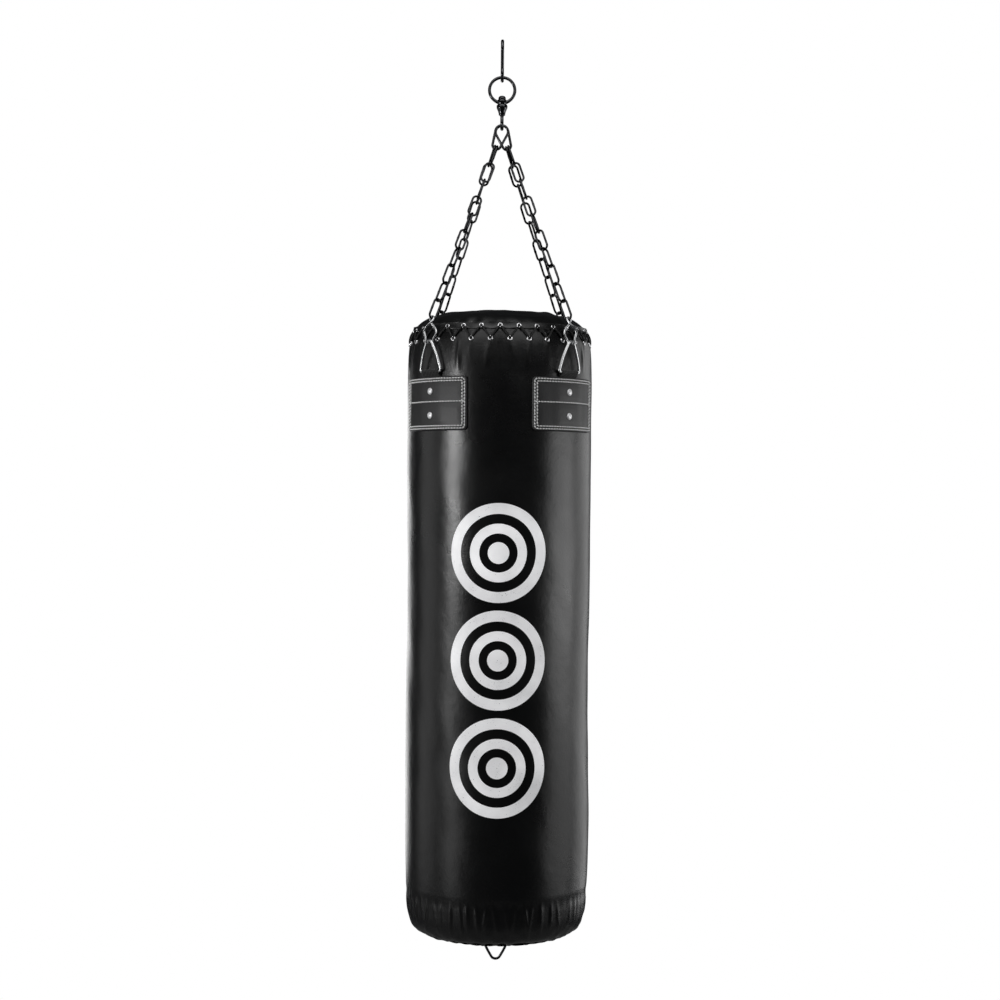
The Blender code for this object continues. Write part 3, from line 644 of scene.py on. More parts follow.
def swivel_eye():
    """A forged cup drawn out to a neck that opens into an oval eye."""
    high, wide = EYE_INSIDE
    neck = EYE_BOTTOM + high + EYE_WIRE
    cup = [(0.0035, 0.0003), (0.0085, 0.0), (0.0098, 0.0005), (0.0104, 0.0016), (0.0104, 0.0060)]
    cup += [(0.0099, 0.0078), (0.0086, 0.0105), (0.0074, 0.0135), (0.0065, 0.0170), (0.0058, 0.0205)]
    profile = below(EYE_TOP, cup) + below(neck, [(0.0048, -0.0010), (0.0030, 0.0016)])
    length = high + EYE_WIRE
    path = oval(up(EYE_BOTTOM + length / 2), length, (wide + EYE_WIRE) / 2, 36)
    loop = moved(sweep(path, EYE_WIRE / 2, 20), facing(math.pi / 2))
    eye = merged([turned(curved(profile, 3), 48), loop])
    piece("swivel_loop", eye, CHROME_PAINTED_DARK, "swivel", "swivel_steel", "swivel_eye")


def top_link_place(side):
    down = Vector((side * math.sin(TOP_LINK_SLANT), 0.0, -math.cos(TOP_LINK_SLANT)))
    across = Vector((math.cos(TOP_LINK_SLANT), 0.0, side * math.sin(TOP_LINK_SLANT)))
    middle = TOP_LINK_LENGTH / 2 - TOP_LINK_RISE
    place = Vector((0.0, side * (TOP_LINK_WIRE + GAP) / 2, EYE_BOTTOM))
    place += down * middle - side * across * TOP_LINK_SHIFT
    return frame_at(place, across, -down)


def welded(path, wire_radius, swell, at):
    """The wire's radius along a link, thicker for a few millimetres where its ends are welded."""
    distance = np.array([(p - at).length for p in path])
    return wire_radius * (1.0 + swell * hump(distance, 0.0022))


def top_links():
    wide, narrow = TOP_LINK_BENDS
    top = up(TOP_LINK_LENGTH / 2 - wide)
    foot = up(narrow - TOP_LINK_LENGTH / 2)
    taper = math.degrees(math.asin((wide - narrow) / (top - foot).length))
    upper = arc(top, wide, -taper, 180 + taper, 36)
    lower = arc(foot, narrow, 180 + taper, 360 - taper, 24)
    path = upper + between(upper[-1], lower[0], 8) + lower + between(lower[-1], upper[0], 8)
    radii = welded(path, TOP_LINK_WIRE / 2, 0.10, upper[-1].lerp(lower[0], 0.5))
    shape = sweep(path, radii, 18)
    for side, name in SIDES:
        link = moved(shape, top_link_place(side))
        piece("link_top_" + name, link, CHROME_PAINTED_DARK, "bag", "link_steel", "top_link_" + name)


def connector_half(share):
    """Half a connector's width, at a share of the way from its top bend to its low one."""
    swell = CONNECTOR_BULGE * math.sin(math.pi * share**CONNECTOR_DROOP) ** 2
    return CONNECTOR_TOP_BEND + (CONNECTOR_LOW_BEND - CONNECTOR_TOP_BEND) * share + swell


def connector(hand):
    """A link with a narrow top, twisted by a third of a turn into a wide lower loop."""
    top = up(-CONNECTOR_TOP_BEND)
    foot = up(CONNECTOR_LOW_BEND - CONNECTOR_HEIGHT)
    down = [step / 24 for step in range(1, 24)]
    left = [top.lerp(foot, t) - Vector((connector_half(t), 0.0, 0.0)) for t in down]
    right = [top.lerp(foot, t) + Vector((connector_half(t), 0.0, 0.0)) for t in down[::-1]]
    path = arc(top, CONNECTOR_TOP_BEND, 0, 180, 14) + left
    path += arc(foot, CONNECTOR_LOW_BEND, 180, 360, 14) + right
    drops, turns = np.array(CONNECTOR_TURNS).T
    fine = np.linspace(0.0, CONNECTOR_HEIGHT, 200)
    eased = np.convolve(np.pad(np.interp(fine, drops, turns), 12, "edge"), np.full(25, 1 / 25), "valid")
    twisted = []
    for point in path:
        turn = hand * math.radians(float(np.interp(-point.z, fine, eased)))
        twisted.append(Matrix.Rotation(turn, 3, "Z") @ point)
    return sweep(twisted, CONNECTOR_WIRE / 2, 16)


def d_outline():
    """A triangle with a straight bar, limbs that bow out and a rounded apex."""
    corners = [(-D_HALF_WIDTH, 0.0), (D_HALF_WIDTH, 0.0), (0.0, D_POINT)]
    bends = rounded([Vector((x, 0.0, z)) for x, z in corners], [D_CORNER, D_CORNER, D_APEX])
    third = len(bends) // 3
    left, right, apex = bends[:third], bends[third : 2 * third], bends[2 * third :]
    bar = between(left[-1], right[0], 12)
    rise = between(right[-1], apex[0], 16, D_BOW)
    return left + bar + right + rise + apex + between(apex[-1], left[0], 16, -D_BOW)


def d_ring_place(angle):
    bar = Matrix.Translation(on_bag(angle, D_BAR_RADIUS, D_BAR_Z))
    return bar @ facing(angle) @ Matrix.Rotation(D_LEAN, 4, "X")


def connector_place(angle):
    outward = on_bag(angle, 1.0, 0.0)
    lean = outward * math.sin(CONNECTOR_LEAN) - up(math.cos(CONNECTOR_LEAN))
    apex = d_ring_place(angle) @ up(D_HEIGHT)
    foot = apex + lean * ((D_WIRE + CONNECTOR_WIRE) / 2 + 2 * GAP)
    across = facing(angle) @ Vector((1.0, 0.0, 0.0))
    return frame_at(foot - lean * CONNECTOR_HEIGHT, across, -lean)


def strand(side, depth):
    """Ten separate welded links, each through the next, the last square to its connector."""
    x_axis = Vector((1.0, 0.0, 0.0))
    top_link = top_link_place(side)
    low = Vector((-depth * STRAND_OFFSET, 0.0, STRAND_RISE - TOP_LINK_LENGTH / 2))
    start = top_link @ low
    angle = bearing(side, depth)
    end = connector_place(angle).translation
    place = frame_at(start, top_link.to_3x3() @ x_axis, start - end)
    ends = (TOP_LINK_WIRE + CONNECTOR_WIRE) / 2 + 2 * GAP
    inside = ((start - end).length + ends - (CHAIN_LINKS - 1) * CHAIN_WELD) / CHAIN_LINKS
    bend = (CHAIN_WIDTH + CHAIN_WIRE) / 2
    path = oval(up(0.0), inside + CHAIN_WIRE, bend, 14, 8)
    link = sweep(path, welded(path, CHAIN_WIRE / 2 - 0.0001, 0.16, x_axis * bend))
    square = place.to_3x3().transposed() @ (facing(angle) @ x_axis)
    twist = (math.atan2(square.y, square.x) + math.pi / 2) % math.pi
    if twist > math.pi / 2:
        twist -= math.pi
    links = []
    for i in range(CHAIN_LINKS):
        drop = inside / 2 + i * (inside + CHAIN_WELD) - TOP_LINK_WIRE / 2 - GAP
        share = min(max((i - 2) / (CHAIN_LINKS - 5), 0.0), 1.0)
        turn = Matrix.Rotation(math.pi / 2 * (i + 1) + twist * share, 4, "Z")
        links.append(moved(link, place @ Matrix.Translation(up(-drop)) @ turn))
    return merged(links)


# ---------------------------------------------------------------- the bag's skin


chance = np.random.default_rng(7)


def ripples(count, around, down, size):
    """Seeded waves over the bag: how often each goes round, its rate down the bag, phase and size."""
    return [
        (
            int(chance.integers(around[0], around[1] + 1)),
            float(chance.uniform(*down)) * float(chance.choice([-1, 1])),
            float(chance.uniform(0, math.tau)),
            size * float(chance.uniform(0.5, 1.0)) / math.sqrt(count),
        )
        for _ in range(count)
    ]


def sum_of(waves, angle, height):
    return sum(
        size * np.cos(around * angle + down * height + phase) for around, down, phase, size in waves
    )


BROAD = ripples(10, (1, 6), (3.0, 18.0), 0.0011)
MEDIUM = ripples(12, (5, 16), (12.0, 60.0), 0.00035)
CRUMPLE = ripples(14, (8, 40), (90.0, 300.0), 0.0008)
TOP_CRUMPLE = ripples(12, (2, 14), (20.0, 70.0), 0.0018)


def around_bag(count, shift, sizes, lengths, leans):
    """Seeded folds evenly round the bag, each shifted a little: places, sizes, lengths and leans."""
    places = (np.arange(count) + shift) * math.tau / count
    return list(zip(places, *(chance.uniform(low, high, count) for low, high in (sizes, lengths, leans))))


PLEAT_TOP = -1.640
PLEATS = around_bag(60, chance.uniform(-0.22, 0.22, 60), (0.45, 1.25), (0.75, 1.25), (-0.35, 0.35))
TUCKS = around_bag(LACE_HOLES, 0.5, (0.3, 1.0), (0.018, 0.050), (-0.25, 0.25))

# strong single folds where the lace pulls hardest: bearing in degrees, size and half length
FOLD_MIDDLE = -0.617
FOLDS = [(-26, 0.0021, 0.034), (17, 0.0011, 0.028), (-8, 0.0012, 0.026), (62, 0.0014, 0.030)]
FOLDS += [(-78, 0.0018, 0.028), (104, 0.0024, 0.030), (151, 0.0014, 0.026), (-122, 0.0020, 0.028)]
FOLDS += [(-165, 0.0016, 0.024), (-100, 0.0010, 0.020)]


def wrapped(angle):
    """An angle brought to between minus and plus half a turn."""
    return (angle + math.pi) % math.tau - math.pi


def across_bag(angle, place):
    """How far round the bag an angle is from a place, in metres."""
    return wrapped(angle - place) * BAG_RADIUS


def skin_lift(angle, height):
    """How far the shell stands out from its plain outline, at an angle and a height."""
    body = smoothstep(height, -1.66, -1.60) * smoothstep(height, -0.585, -0.66)
    lift = (sum_of(BROAD, angle, height) + sum_of(MEDIUM, angle, height)) * (0.25 + 0.75 * body)
    lift = lift - 0.0026 * hump(height + 1.16, 0.19) - 0.0006

    for place, size, length, lean in TUCKS:
        drop = LOWER_EYELETS[1] - height
        across = across_bag(angle, place + lean * drop / BAG_RADIUS)
        width = 0.0042 + 0.10 * np.maximum(drop, 0.0)
        lift = lift + 0.0013 * size * hump(drop, length) * hump(across, width)
    for place, size, length in FOLDS:
        drop = (FOLD_MIDDLE - height) / length
        spindle = np.maximum(1.0 - drop * drop, 0.0) ** 1.6
        across = across_bag(angle, math.radians(place))
        lift = lift + size * spindle * hump(across, 0.0044 + 0.0014 * drop)

    # the gathered foot: a soft step in, with uneven pleats that run down to the seam
    lift = lift - 0.0012 * smoothstep(height, -1.616, PLEAT_TOP)
    for place, size, length, lean in PLEATS:
        drop = PLEAT_TOP - height
        across = across_bag(angle, place + lean * drop / BAG_RADIUS * 0.5)
        fade = smoothstep(drop, -0.016, 0.010) * smoothstep(drop, 0.058 * length, 0.022)
        lift = lift + 0.0024 * size * fade * hump(across, 0.0034, 1.6)
    creased = smoothstep(height, -1.675, -1.702)
    return lift + sum_of(CRUMPLE, angle, height) * creased * (0.35 + 0.65 * np.cos(angle / 2) ** 2)


shell_line = curved(SHELL, 24)
shell_radii, shell_heights = shell_line[::-1].T


def skin(angle, height, lift=0.0):
    """Points on the shell's outside, or a lift above it. Angle and height are arrays."""
    radius = np.interp(height, shell_heights, shell_radii) + skin_lift(angle, height) + lift
    return round_z(radius, angle, height)


def outer_shell():
    def spacing(radius, height):
        if height > -0.66:
            return 0.0019
        return 0.0016 if height < -1.61 else 0.0090

    def lift(angle, rows):
        return skin_lift(angle, rows[:, 1:2]) * smoothstep(rows[:, 0:1], 0.120, 0.142)

    line = resampled(shell_line, spacing)
    hem = line[0] + [(-0.0022, -0.010), (-0.0022, 0.0002), (-0.0014, 0.0011), (-0.0004, 0.0009)]
    foot = line[-1] + [(-0.0012, 0.0002), (-0.0018, 0.0016), (0.004, 0.003)]
    rows, uv = lathe(np.concatenate([hem, line, foot]), full_turn(560, -math.pi), lift)
    shell = grid(rows, uv)
    made = piece("bag_shell", shell, BAG_LEATHER, "bag", "bag_leather", "outer_shell")


def crown_lift(angle, rows):
    """Puckers that run in from the upper eyelets, and soft dents in the middle of the cover."""
    radius, height = rows[:, 0:1], rows[:, 1:2]
    pull = smoothstep(radius, 0.120, 0.166)
    pucker = np.cos(LACE_HOLES * angle + 0.6 * np.sin(3 * angle))
    lift = 0.0011 * pull * pucker * (0.6 + 0.4 * np.cos(5 * angle + 1.0))
    dents = sum_of(TOP_CRUMPLE, angle, radius * 2.0) * smoothstep(radius, 0.0, 0.13)
    edge = smoothstep(height, -0.563, -0.566)
    return (lift + dents * (1.0 - 0.7 * pull)) * (1.0 - edge) - 0.0008


def top_cover():
    line = resampled(curved(CROWN, 20), 0.0022)
    hem = line[-1] + [(-0.0004, -0.0009), (-0.0014, -0.0011), (-0.0024, -0.0002), (-0.0030, 0.012)]
    rows, uv = lathe(np.concatenate([line[1:], hem]), full_turn(480, -math.pi), crown_lift)
    made = piece("bag_top", disc(rows, uv, 0), COVER_LEATHER, "bag", "bag_leather", "top_cover")


def closure_flap():
    """The leather behind the lacing, which shows in the gap between the two laced edges."""
    line = curved([(0.1640, -0.5575), (0.1668, -0.5655), (0.1686, -0.5715), (0.1716, -0.5850)], 8)
    inner = line[::-1] - np.array([0.0012, 0.0])
    angles = full_turn(360, -math.pi)
    rows, uv = lathe(np.concatenate([line, inner, line[:1]]), angles)
    rows = rows + round_z(0.0004 * np.cos(2 * LACE_HOLES * angles + 1.2), angles, 0.0)
    flap = grid(rows, uv)
    piece("lacing_flap", flap, COVER_LEATHER, "bag", "bag_leather", "closure_flap")


def eyelet_spot(i):
    """The place and outward direction of the eyelet that the lace meets at its step i."""
    angle = math.tau * i / (2 * LACE_HOLES)
    if i % 2:
        radius, height = LOWER_EYELETS
        radius += float(skin_lift(np.array(angle), np.array(height)))
        return on_bag(angle, radius, height), on_bag(angle, 0.98, 0.18).normalized()
    radius, height = UPPER_EYELETS
    radius += float(crown_lift(np.array([[wrapped(angle)]]), np.array([UPPER_EYELETS]))[0, 0])
    return on_bag(angle, radius, height), on_bag(angle, 0.93, 0.36).normalized()


def eyelets():
    """A rolled metal eyelet in every lace hole."""
    profile = [(0.0026, -0.0016), (0.0025, 0.0004), (0.0028, 0.0012), (0.0034, 0.0016)]
    profile += [(0.0041, 0.0014), (0.0047, 0.0008), (0.0050, -0.0002), (0.0050, -0.0010)]
    ring = turned(profile, 24)
    spots = [eyelet_spot(i) for i in range(2 * LACE_HOLES)]
    rings = [moved(ring, frame_at(place, up(1.0), out)) for place, out in spots]
    piece("lace_eyelets", merged(rings), EYELET_STEEL, "bag", "rivet_steel")


def lace():
    """A braided cord that dives into each eyelet and lies over the gap between."""
    steps = 8
    path = []
    for i in range(2 * LACE_HOLES):
        here, out = eyelet_spot(i)
        there, out_there = eyelet_spot((i + 1) % (2 * LACE_HOLES))
        for share in (step / steps for step in range(steps)):
            rise = out.lerp(out_there, share).normalized()
            height = LACE_DIP + LACE_RISE * math.sin(math.pi * share) ** 0.55
            path.append(here.lerp(there, share) + rise * height)
    cord = sweep(path, LACE_RADIUS, 10)
    piece("lace_cord", cord, LACE_CORD, "bag", "lace_cord", "lace")


def base_panel():
    """The round foot, gathered in folds where it is sewn to the shell."""
    profile = [(0.1470, -0.0090), (0.1400, -0.0060), (0.1365, -0.0028), (0.1200, -0.0018)]
    profile += [(0.0800, -0.0008), (0.0300, -0.0002), (0.0010, -0.0001)]
    angles = full_turn(360, -math.pi)
    rows, uv = lathe(curved(below(BASE_Z, profile), 8), angles)
    near_seam = smoothstep(np.linalg.norm(rows[..., :2], axis=-1), 0.085, 0.134)
    folds = np.cos(48 * angles + 1.1 * np.sin(5 * angles)) + 0.5 * np.cos(31 * angles + 2.0)
    rows[..., 2] += 0.0007 + 0.0008 * near_seam * folds
    piece("bag_foot", disc(rows, uv, -1), COVER_LEATHER, "bag", "bag_leather", "base_panel")


def filling():
    """What is inside: the foam round the wall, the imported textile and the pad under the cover."""
    foam = BAG_RADIUS - LEATHER - 0.0026
    inner = foam - 0.0255 + 0.0006
    wall = [(inner, -0.613), (foam - 0.0025, -0.613), (foam, -0.640), (foam - 0.0012, -0.9)]
    wall += [(foam - 0.003, -1.16), (foam - 0.0008, -1.4), (foam, -1.560), (foam - 0.0040, -1.625)]
    wall += [(foam - 0.0075, -1.659), (inner, -1.659), (inner, -0.613)]
    mass = [(0.0010, -0.564), (inner - 0.010, -0.564), (inner - 0.0020, -0.580)]
    mass += [(inner - 0.0020, -1.665), (inner - 0.013, -1.698), (0.0010, BASE_Z + 0.0108)]
    pad = [(0.0010, CROWN_Z - LEATHER - 0.0045), (0.1080, CROWN_Z - 0.0135), (0.1390, CROWN_Z - 0.0225)]
    pad += [(0.1490, CROWN_Z - 0.0305), (0.1490, -0.5605), (0.0010, -0.5605)]
    for name, profile, look, slot, stood_for, rough, fill in (
        ("foam_wrap", wall, FOAM, "foam", "foam_liner", 0.0003, 0.9),
        ("packed_textile", mass, TEXTILE, "textile", "textile_fill", 0.0008, 1.0),
        ("pad_under_cover", pad, FOAM, "foam", "top_pad", 0.0004, 0.8),
    ):

        def lift(angle, rows):
            waves = np.cos(13 * angle + 61 * rows[:, 1:2]) + np.cos(22 * angle - 97 * rows[:, 1:2])
            return rough * (waves - 2.0)

        rows, uv = lathe(resampled(profile, 0.010), full_turn(120, -math.pi), lift)
        shape = grid(rows, uv, fill_ends=profile[0][0] < 0.01)
        made = piece(name, shape, look, "bag", slot, stood_for)


# ---------------------------------------------------------------- straps, patches and stitching


def stitches(path, angles, pitch, length, width, sink):
    """Short rounded stitches along a path of points that lie at the angles round the bag."""
    outward = round_z(1.0, angles, 0.0)
    lengths = lengths_of(path)
    count = max(int(lengths[-1] / pitch), 1)
    made = []
    for k in range(count):
        start = (k + 0.5) * lengths[-1] / count - length / 2
        line = []
        for share in (0.0, 0.25, 0.5, 0.75, 1.0):
            at = start + share * length
            place, out = (
                np.array([np.interp(at, lengths, column) for column in values.T])
                for values in (path, outward)
            )
            line.append(place + unit(out) * width * (math.sin(math.pi * share) * 0.8 - sink))
        made.append(sweep(line, width / 2, 6, closed=False))
    return merged(made)


def patch_lift(across, height):
    """The patch's outer face above the shell: over the strap, puffed between its seams."""
    over_strap = smoothstep(np.abs(across), 0.044, 0.021) * smoothstep(height, -0.752, -0.736)
    from_seam = np.abs(height - PATCH_SEAM)
    edge = np.minimum(PATCH_TOP - height, height - PATCH_BOTTOM)
    edge = np.minimum(PATCH_HALF_WIDTH - np.abs(across), edge)
    lift = 0.0046 + 0.0015 * over_strap + 0.0005 * hump(edge - 0.0012, 0.0011)
    for inset in PATCH_SEAM_INSETS:
        lift = lift - 0.0006 * hump(edge - inset, 0.0011)
    lift = lift - 0.0007 * hump(from_seam, 0.0013) * smoothstep(edge, 0.0, 0.004)
    lift = lift + 0.0006 * smoothstep(edge, 0.0090, 0.020) * smoothstep(from_seam, 0.001, 0.014)
    return lift - 0.0022 * hump(edge, 0.0008)


def patch_outline(inset, spacing=0.002):
    """Points along a rounded rectangle inside the patch's edge, as (across, height)."""
    radius = max(PATCH_CORNER - inset, 0.0025)
    wide = PATCH_HALF_WIDTH - inset - radius
    top, low = PATCH_TOP - inset - radius, PATCH_BOTTOM + inset + radius
    points = []
    for x, z, start in ((wide, top, 0), (-wide, top, 90), (-wide, low, 180), (wide, low, 270)):
        for step in range(7):
            angle = math.radians(start + 15 * step)
            points.append((x + radius * math.cos(angle), z + radius * math.sin(angle)))
    return resampled(points + points[:1], spacing)


def on_patch(flat, angle, lift=None):
    """Points of (across, height) on a patch's outer face, or at another lift above the shell."""
    across, height = flat.T
    return skin(angle + across / BAG_RADIUS, height, patch_lift(across, height) if lift is None else lift)


def patch_surface(angle):
    """The patch as one closed leather panel: rings of points from its middle to its turned edge."""
    ring = patch_outline(0.0, 0.0022)[:-1]
    reach = PATCH_HALF_WIDTH - 0.046
    middle = np.full(len(ring), (PATCH_TOP + PATCH_BOTTOM) / 2)
    spine = np.stack([np.clip(ring[:, 0], -reach, reach), middle], 1)
    shares = np.concatenate([np.linspace(0.0, 0.74, 26), np.linspace(0.76, 1.0, 24)])
    rows = [on_patch(spine + (ring - spine) * share, angle) for share in shares]
    for out, lift in ((0.0004, 0.0016), (0.0005, 0.0009), (0.0002, 0.0004)):
        rows.append(on_patch(ring + unit(ring - spine) * out, angle, lift))
    return grid(rows[::-1], np.zeros((len(rows), len(ring), 2)))


def patch_threads(angle):
    """Two rows of stitches round the patch, and one row across its middle."""
    rows = [patch_outline(inset) for inset in PATCH_SEAM_INSETS]
    reach = PATCH_HALF_WIDTH - PATCH_SEAM_INSETS[0]
    across = np.linspace(-reach, reach, 90)
    rows.append(np.stack([across, np.full(len(across), PATCH_SEAM)], 1))
    made = []
    for flat in rows:
        around = angle + flat[:, 0] / BAG_RADIUS
        made.append(stitches(on_patch(flat, angle), around, STITCH_PITCH, 0.0032, 0.0026, 0.05))
    return merged(made)


def band(line, half_width, half_thick, shoulders, flats, place):
    """Flat webbing with rounded selvedges, closed all round. Place bends each point of it."""
    near, far = shoulders
    top = [(-1.0, 0.0), (-far, 0.75), (-near, 1.0), *((x, 1.0) for x in flats)]
    top += [(near, 1.0), (far, 0.75), (1.0, 0.0)]
    section = top + [(x, -t) for x, t in top[-2:0:-1]]
    rows, uv = [], []
    for point, normal, length in zip(line, outward_of(line), lengths_of(line)):
        row = []
        for across, thick in section:
            row.append(place(across * half_width, *(point + normal * half_thick * thick)))
        rows.append(row)
        uv.append([(across * half_width, length) for across, _ in section])
    return grid(rows, uv, fill_ends=True)


def strap_path():
    """The webbing's run as (lift, height): up behind the bar, over it, and down in front."""
    behind, before = STRAP_LIFTS
    lift = D_BAR_RADIUS - BAG_RADIUS
    loop = D_WIRE / 2 + GAP + STRAP_THICK / 2
    rows = [(behind, STRAP_BOTTOM), (behind, -0.700), (behind, -0.6560), (behind, -0.6475)]
    for step in range(15):
        angle = math.radians(180 - 232 * step / 14)
        rows.append((lift + loop * math.cos(angle), D_BAR_Z + loop * math.sin(angle)))
    return rows + [(before, -0.6535), (before, -0.700), (before, STRAP_BOTTOM)]


def strap_shape():
    """The webbing round a D-ring's bar, made for the front: curved below, straight at the bar."""

    def place(across, lift, height):
        bent = on_bag(across / BAG_RADIUS, BAG_RADIUS + lift, 0.0)
        flat = Vector((across, -BAG_RADIUS - lift, 0.0))
        there = bent.lerp(flat, float(smoothstep(height, *STRAP_FLAT)))
        return there.x, there.y, height

    line = resampled(strap_path(), 0.0016)
    flats = np.linspace(-0.85, 0.85, 13)
    return band(line, STRAP_HALF_WIDTH, STRAP_THICK / 2, (0.94, 0.985), flats, place)


def rivet_shape():
    """A domed cap on a thin flange, with its shank and spread tail behind."""
    dome = [(0.0001, 1.0), (0.0020, 0.95), (0.0037, 0.80), (0.0050, 0.55), (0.0058, 0.32)]
    dome += [(RIVET_HEAD, 0.20), (RIVET_HEAD, 0.0)]
    tail_radius, tail_height = RIVET_TAIL
    inside = -LEATHER - GAP
    profile = [(radius, RIVET_BASE + share * RIVET_DOME) for radius, share in dome]
    profile += [(RIVET_HEAD - 0.0004, RIVET_BASE - 0.0002), (RIVET_SHANK, RIVET_BASE - 0.0002)]
    profile += [(RIVET_SHANK, inside), (tail_radius, inside)]
    profile += [(tail_radius, inside - tail_height), (0.0001, inside - tail_height)]
    return turned(profile, 32)


def corners():
    """The chain, connector, D-ring, strap, patch, stitching and rivets at each corner."""
    connectors = {hand: connector(hand) for hand in (1, -1)}
    ring = sweep(d_outline(), D_WIRE / 2, 18)
    strap = strap_shape()
    rivet = rivet_shape()
    for side, side_name in SIDES:
        for depth, depth_name in DEPTHS:
            angle = bearing(side, depth)
            corner = depth_name + "_" + side_name
            link = moved(connectors[side * depth], connector_place(angle))
            d_ring = moved(ring, d_ring_place(angle))
            webbed = moved(strap, facing(angle))
            for name, stood_for, shape, look, slot in (
                ("links_", "chain_", strand(side, depth), CHAIN_PAINTED_DARK, "chain_steel"),
                ("twist_link_", "connector_", link, LINK_STEEL, "link_steel"),
                ("dee_", "d_ring_", d_ring, CHROME, "ring_steel"),
                ("band_", "strap_", webbed, WEBBING, "strap_webbing"),
                ("panel_", "patch_", patch_surface(angle), PATCH_LEATHER, "patch_leather"),
            ):
                piece(name + corner, shape, look, "bag", slot, stood_for + corner)
            piece("stitches_" + corner, patch_threads(angle), THREAD, "bag", "lace_cord")
            for number, height in enumerate(RIVET_Z, 1):
                outward = on_bag(angle, 1.0, 0.0)
                place = frame_at(on_bag(angle, BAG_RADIUS, height), up(1.0), outward)
                end = f"_{corner}_{number}"
                cap = moved(rivet, place)
                piece("cap" + end, cap, RIVET_STEEL, "bag", "rivet_steel", "rivet" + end)


def back_seam():
    """The shell's upright seam at the back: two rows of dark stitches."""
    heights = np.arange(-0.600, -1.620, -0.010)
    rows = []
    for across in (-0.004, 0.004):
        angles = np.full(len(heights), math.pi + across / BAG_RADIUS)
        path = skin(angles, heights, 0.0001)
        rows.append(stitches(path, angles, STITCH_PITCH, 0.0044, 0.0011, 0.15))
    piece("stitches_back_seam", merged(rows), DARK_THREAD, "bag", "lace_cord")


def base_loop():
    """The tab sewn under the foot, and the ring that hangs point down in its loop."""

    def as_drawn(across, depth, height):
        return across, depth, height

    loop = D_WIRE / 2 + GAP + STRAP_THICK / 2
    top = BASE_Z - GAP - STRAP_THICK / 2
    run = [(0.030, top), (0.016, top), (loop + 0.0015, top)]
    line = list(run)
    for step in range(15):
        angle = -math.pi * step / 14
        line.append((loop * math.cos(angle), BASE_BAR_Z + loop * math.sin(angle)))
    line = resampled(line + [(-y, z) for y, z in run[::-1]], 0.0014)
    flats = (-0.45, 0.0, 0.45)
    tab = band(line, BASE_TAB_HALF_WIDTH, -STRAP_THICK / 2, (0.90, 0.97), flats, as_drawn)
    piece("foot_tab", tab, WEBBING, "bag", "strap_webbing", "base_tab")
    outline = [Vector((p.x, 0.0, -p.z * BASE_RING_SQUAT)) for p in d_outline()]
    ring = moved(sweep(outline, D_WIRE / 2, 18), Matrix.Translation(up(BASE_BAR_Z)))
    piece("foot_ring", ring, CHROME_PAINTED_DARK, "base_ring", "ring_steel", "base_ring")


def target(height):
    """Plain round bands printed on the shell's front, about a height."""
    made = []
    spokes = full_turn(120)
    for inner, outer in TARGET_BANDS:
        radii = np.linspace(inner, outer, 7)[::-1, None]
        flat = np.stack([radii * np.cos(spokes), radii * np.sin(spokes)], -1)
        rows = skin(flat[..., 0] / BAG_RADIUS, height + flat[..., 1], PRINT_LIFT)
        made.append(grid(rows, flat))
    return merged(made)


def printed_targets():
    print_shape = merged([target(TARGET_Z + step * TARGET_PITCH) for step in (-1, 0, 1)])
    piece("printed_targets", print_shape, PRINT, "bag", "bag_leather")


# ---------------------------------------------------------------- stage


def floor():
    """A plain grey floor under the bag."""
    profile = np.array([(0.001, FLOOR_Z), (0.4, FLOOR_Z), (0.95, FLOOR_Z)])
    rows, uv = lathe(profile, full_turn(96))
    points, faces, _ = grid(rows[::-1], uv)
    mesh = bpy.data.meshes.new("floor")
    mesh.from_pydata(points.tolist(), [], faces)
    made, tree, shader = material("floor_paint", specular=0.2)
    mottle = noise_of(tree, coords_of(tree), 14.0, 4.0)
    colour = ramp(tree, mottle, 0.3, (0.27, 0.27, 0.27), 0.7, (0.31, 0.31, 0.31))
    tree.links.new(colour, shader.inputs["Base Color"])
    shader.inputs["Roughness"].default_value = 0.8
    mesh.materials.append(made)
    plane = bpy.data.objects.new("floor", mesh)
    bpy.context.scene.collection.objects.link(plane)


def soft_box(name, angle, distance, height, size, power):
    """A rectangular light at a bearing from the front, facing the bag's axis."""
    light = bpy.data.lights.new(name, "AREA")
    light.shape = "RECTANGLE"
    light.size, light.size_y = size
    light.energy = power
    made = bpy.data.objects.new(name, light)
    made.location = on_bag(math.radians(angle), distance, height)
    toward = up(height * 0.5 - 0.55) - made.location
    made.rotation_mode = "QUATERNION"
    made.rotation_quaternion = toward.to_track_quat("-Z", "Y")
    bpy.context.scene.collection.objects.link(made)


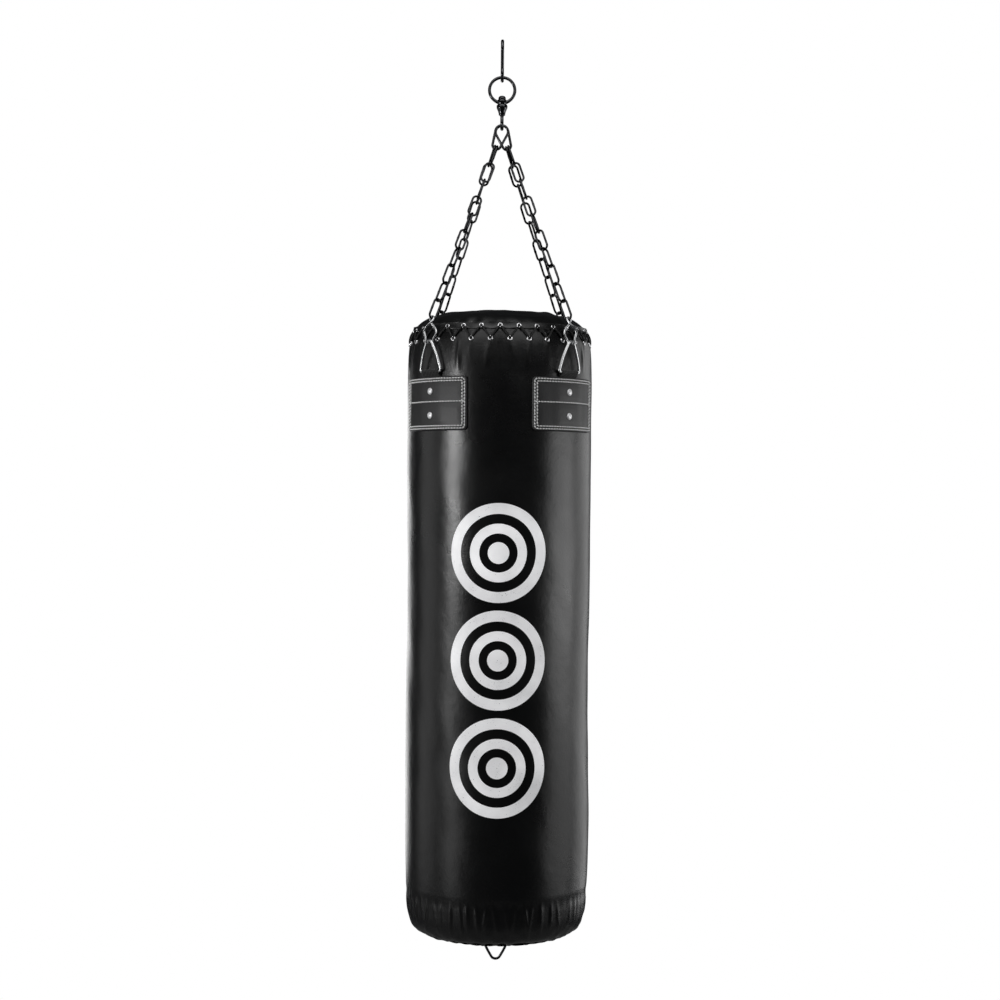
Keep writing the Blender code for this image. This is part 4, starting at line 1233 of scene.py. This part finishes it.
def studio():
    """Soft boxes placed for the photograph's highlights, in a faint fill before a white ground."""
    soft_box("left_key", -56, 2.4, -0.76, (0.66, 0.46), 14.0)
    soft_box("left_low", -57, 2.4, -1.42, (0.62, 1.65), 6.0)
    soft_box("left_fill", -96, 2.6, -1.20, (1.3, 2.2), 6.5)
    soft_box("left_rim", -155, 2.6, -1.30, (1.0, 1.6), 12.0)
    soft_box("right_key", 84, 2.6, -0.95, (1.8, 0.78), 13.5)
    soft_box("right_low", 84, 2.6, -1.70, (1.8, 1.3), 7.0)
    soft_box("right_rim", 129, 2.6, -1.10, (1.9, 2.4), 16.0)
    soft_box("front_left_high", -32, 2.6, 1.5, (2.6, 2.6), 25.0)
    soft_box("front_right_high", 32, 2.6, 1.5, (2.6, 2.6), 25.0)
    soft_box("overhead", 0, 1.0, 1.4, (1.6, 1.6), 14.0)
    world = bpy.data.worlds.new("studio")
    bpy.context.scene.world = world
    world.use_nodes = True
    tree = world.node_tree
    shown = tree.nodes["Background"]
    shown.inputs["Color"].default_value = (1.0, 1.0, 1.0, 1.0)
    lit = node(tree, "Background", {"Color": (0.5, 0.52, 0.55, 1.0), "Strength": 0.07})
    ray = node(tree, "LightPath", {})
    inputs = {0: ray.outputs["Is Camera Ray"], 1: lit.outputs[0], 2: shown.outputs[0]}
    mixed = node(tree, "MixShader", inputs)
    tree.links.new(mixed.outputs[0], tree.nodes["World Output"].inputs["Surface"])


def camera():
    lens = bpy.data.cameras.new("camera")
    lens.lens = CAMERA_LENS
    lens.sensor_width = 36.0
    made = bpy.data.objects.new("camera", lens)
    level = Matrix.Translation(CAMERA_PLACE) @ Matrix.Rotation(math.pi / 2, 4, "X")
    made.matrix_world = level @ Matrix.Rotation(CAMERA_ROLL, 4, "Z")
    bpy.context.scene.collection.objects.link(made)
    bpy.context.scene.camera = made
    bpy.context.scene.view_settings.view_transform = "Standard"


for stray in list(bpy.data.objects):
    if stray.type in ("CAMERA", "LIGHT"):
        bpy.data.objects.remove(stray)

s_hook()
swivel_ring()
swivel_pin()
swivel_eye()
top_links()
corners()
outer_shell()
top_cover()
closure_flap()
eyelets()
lace()
back_seam()
base_panel()
base_loop()
filling()
printed_targets()
floor()
studio()
camera()
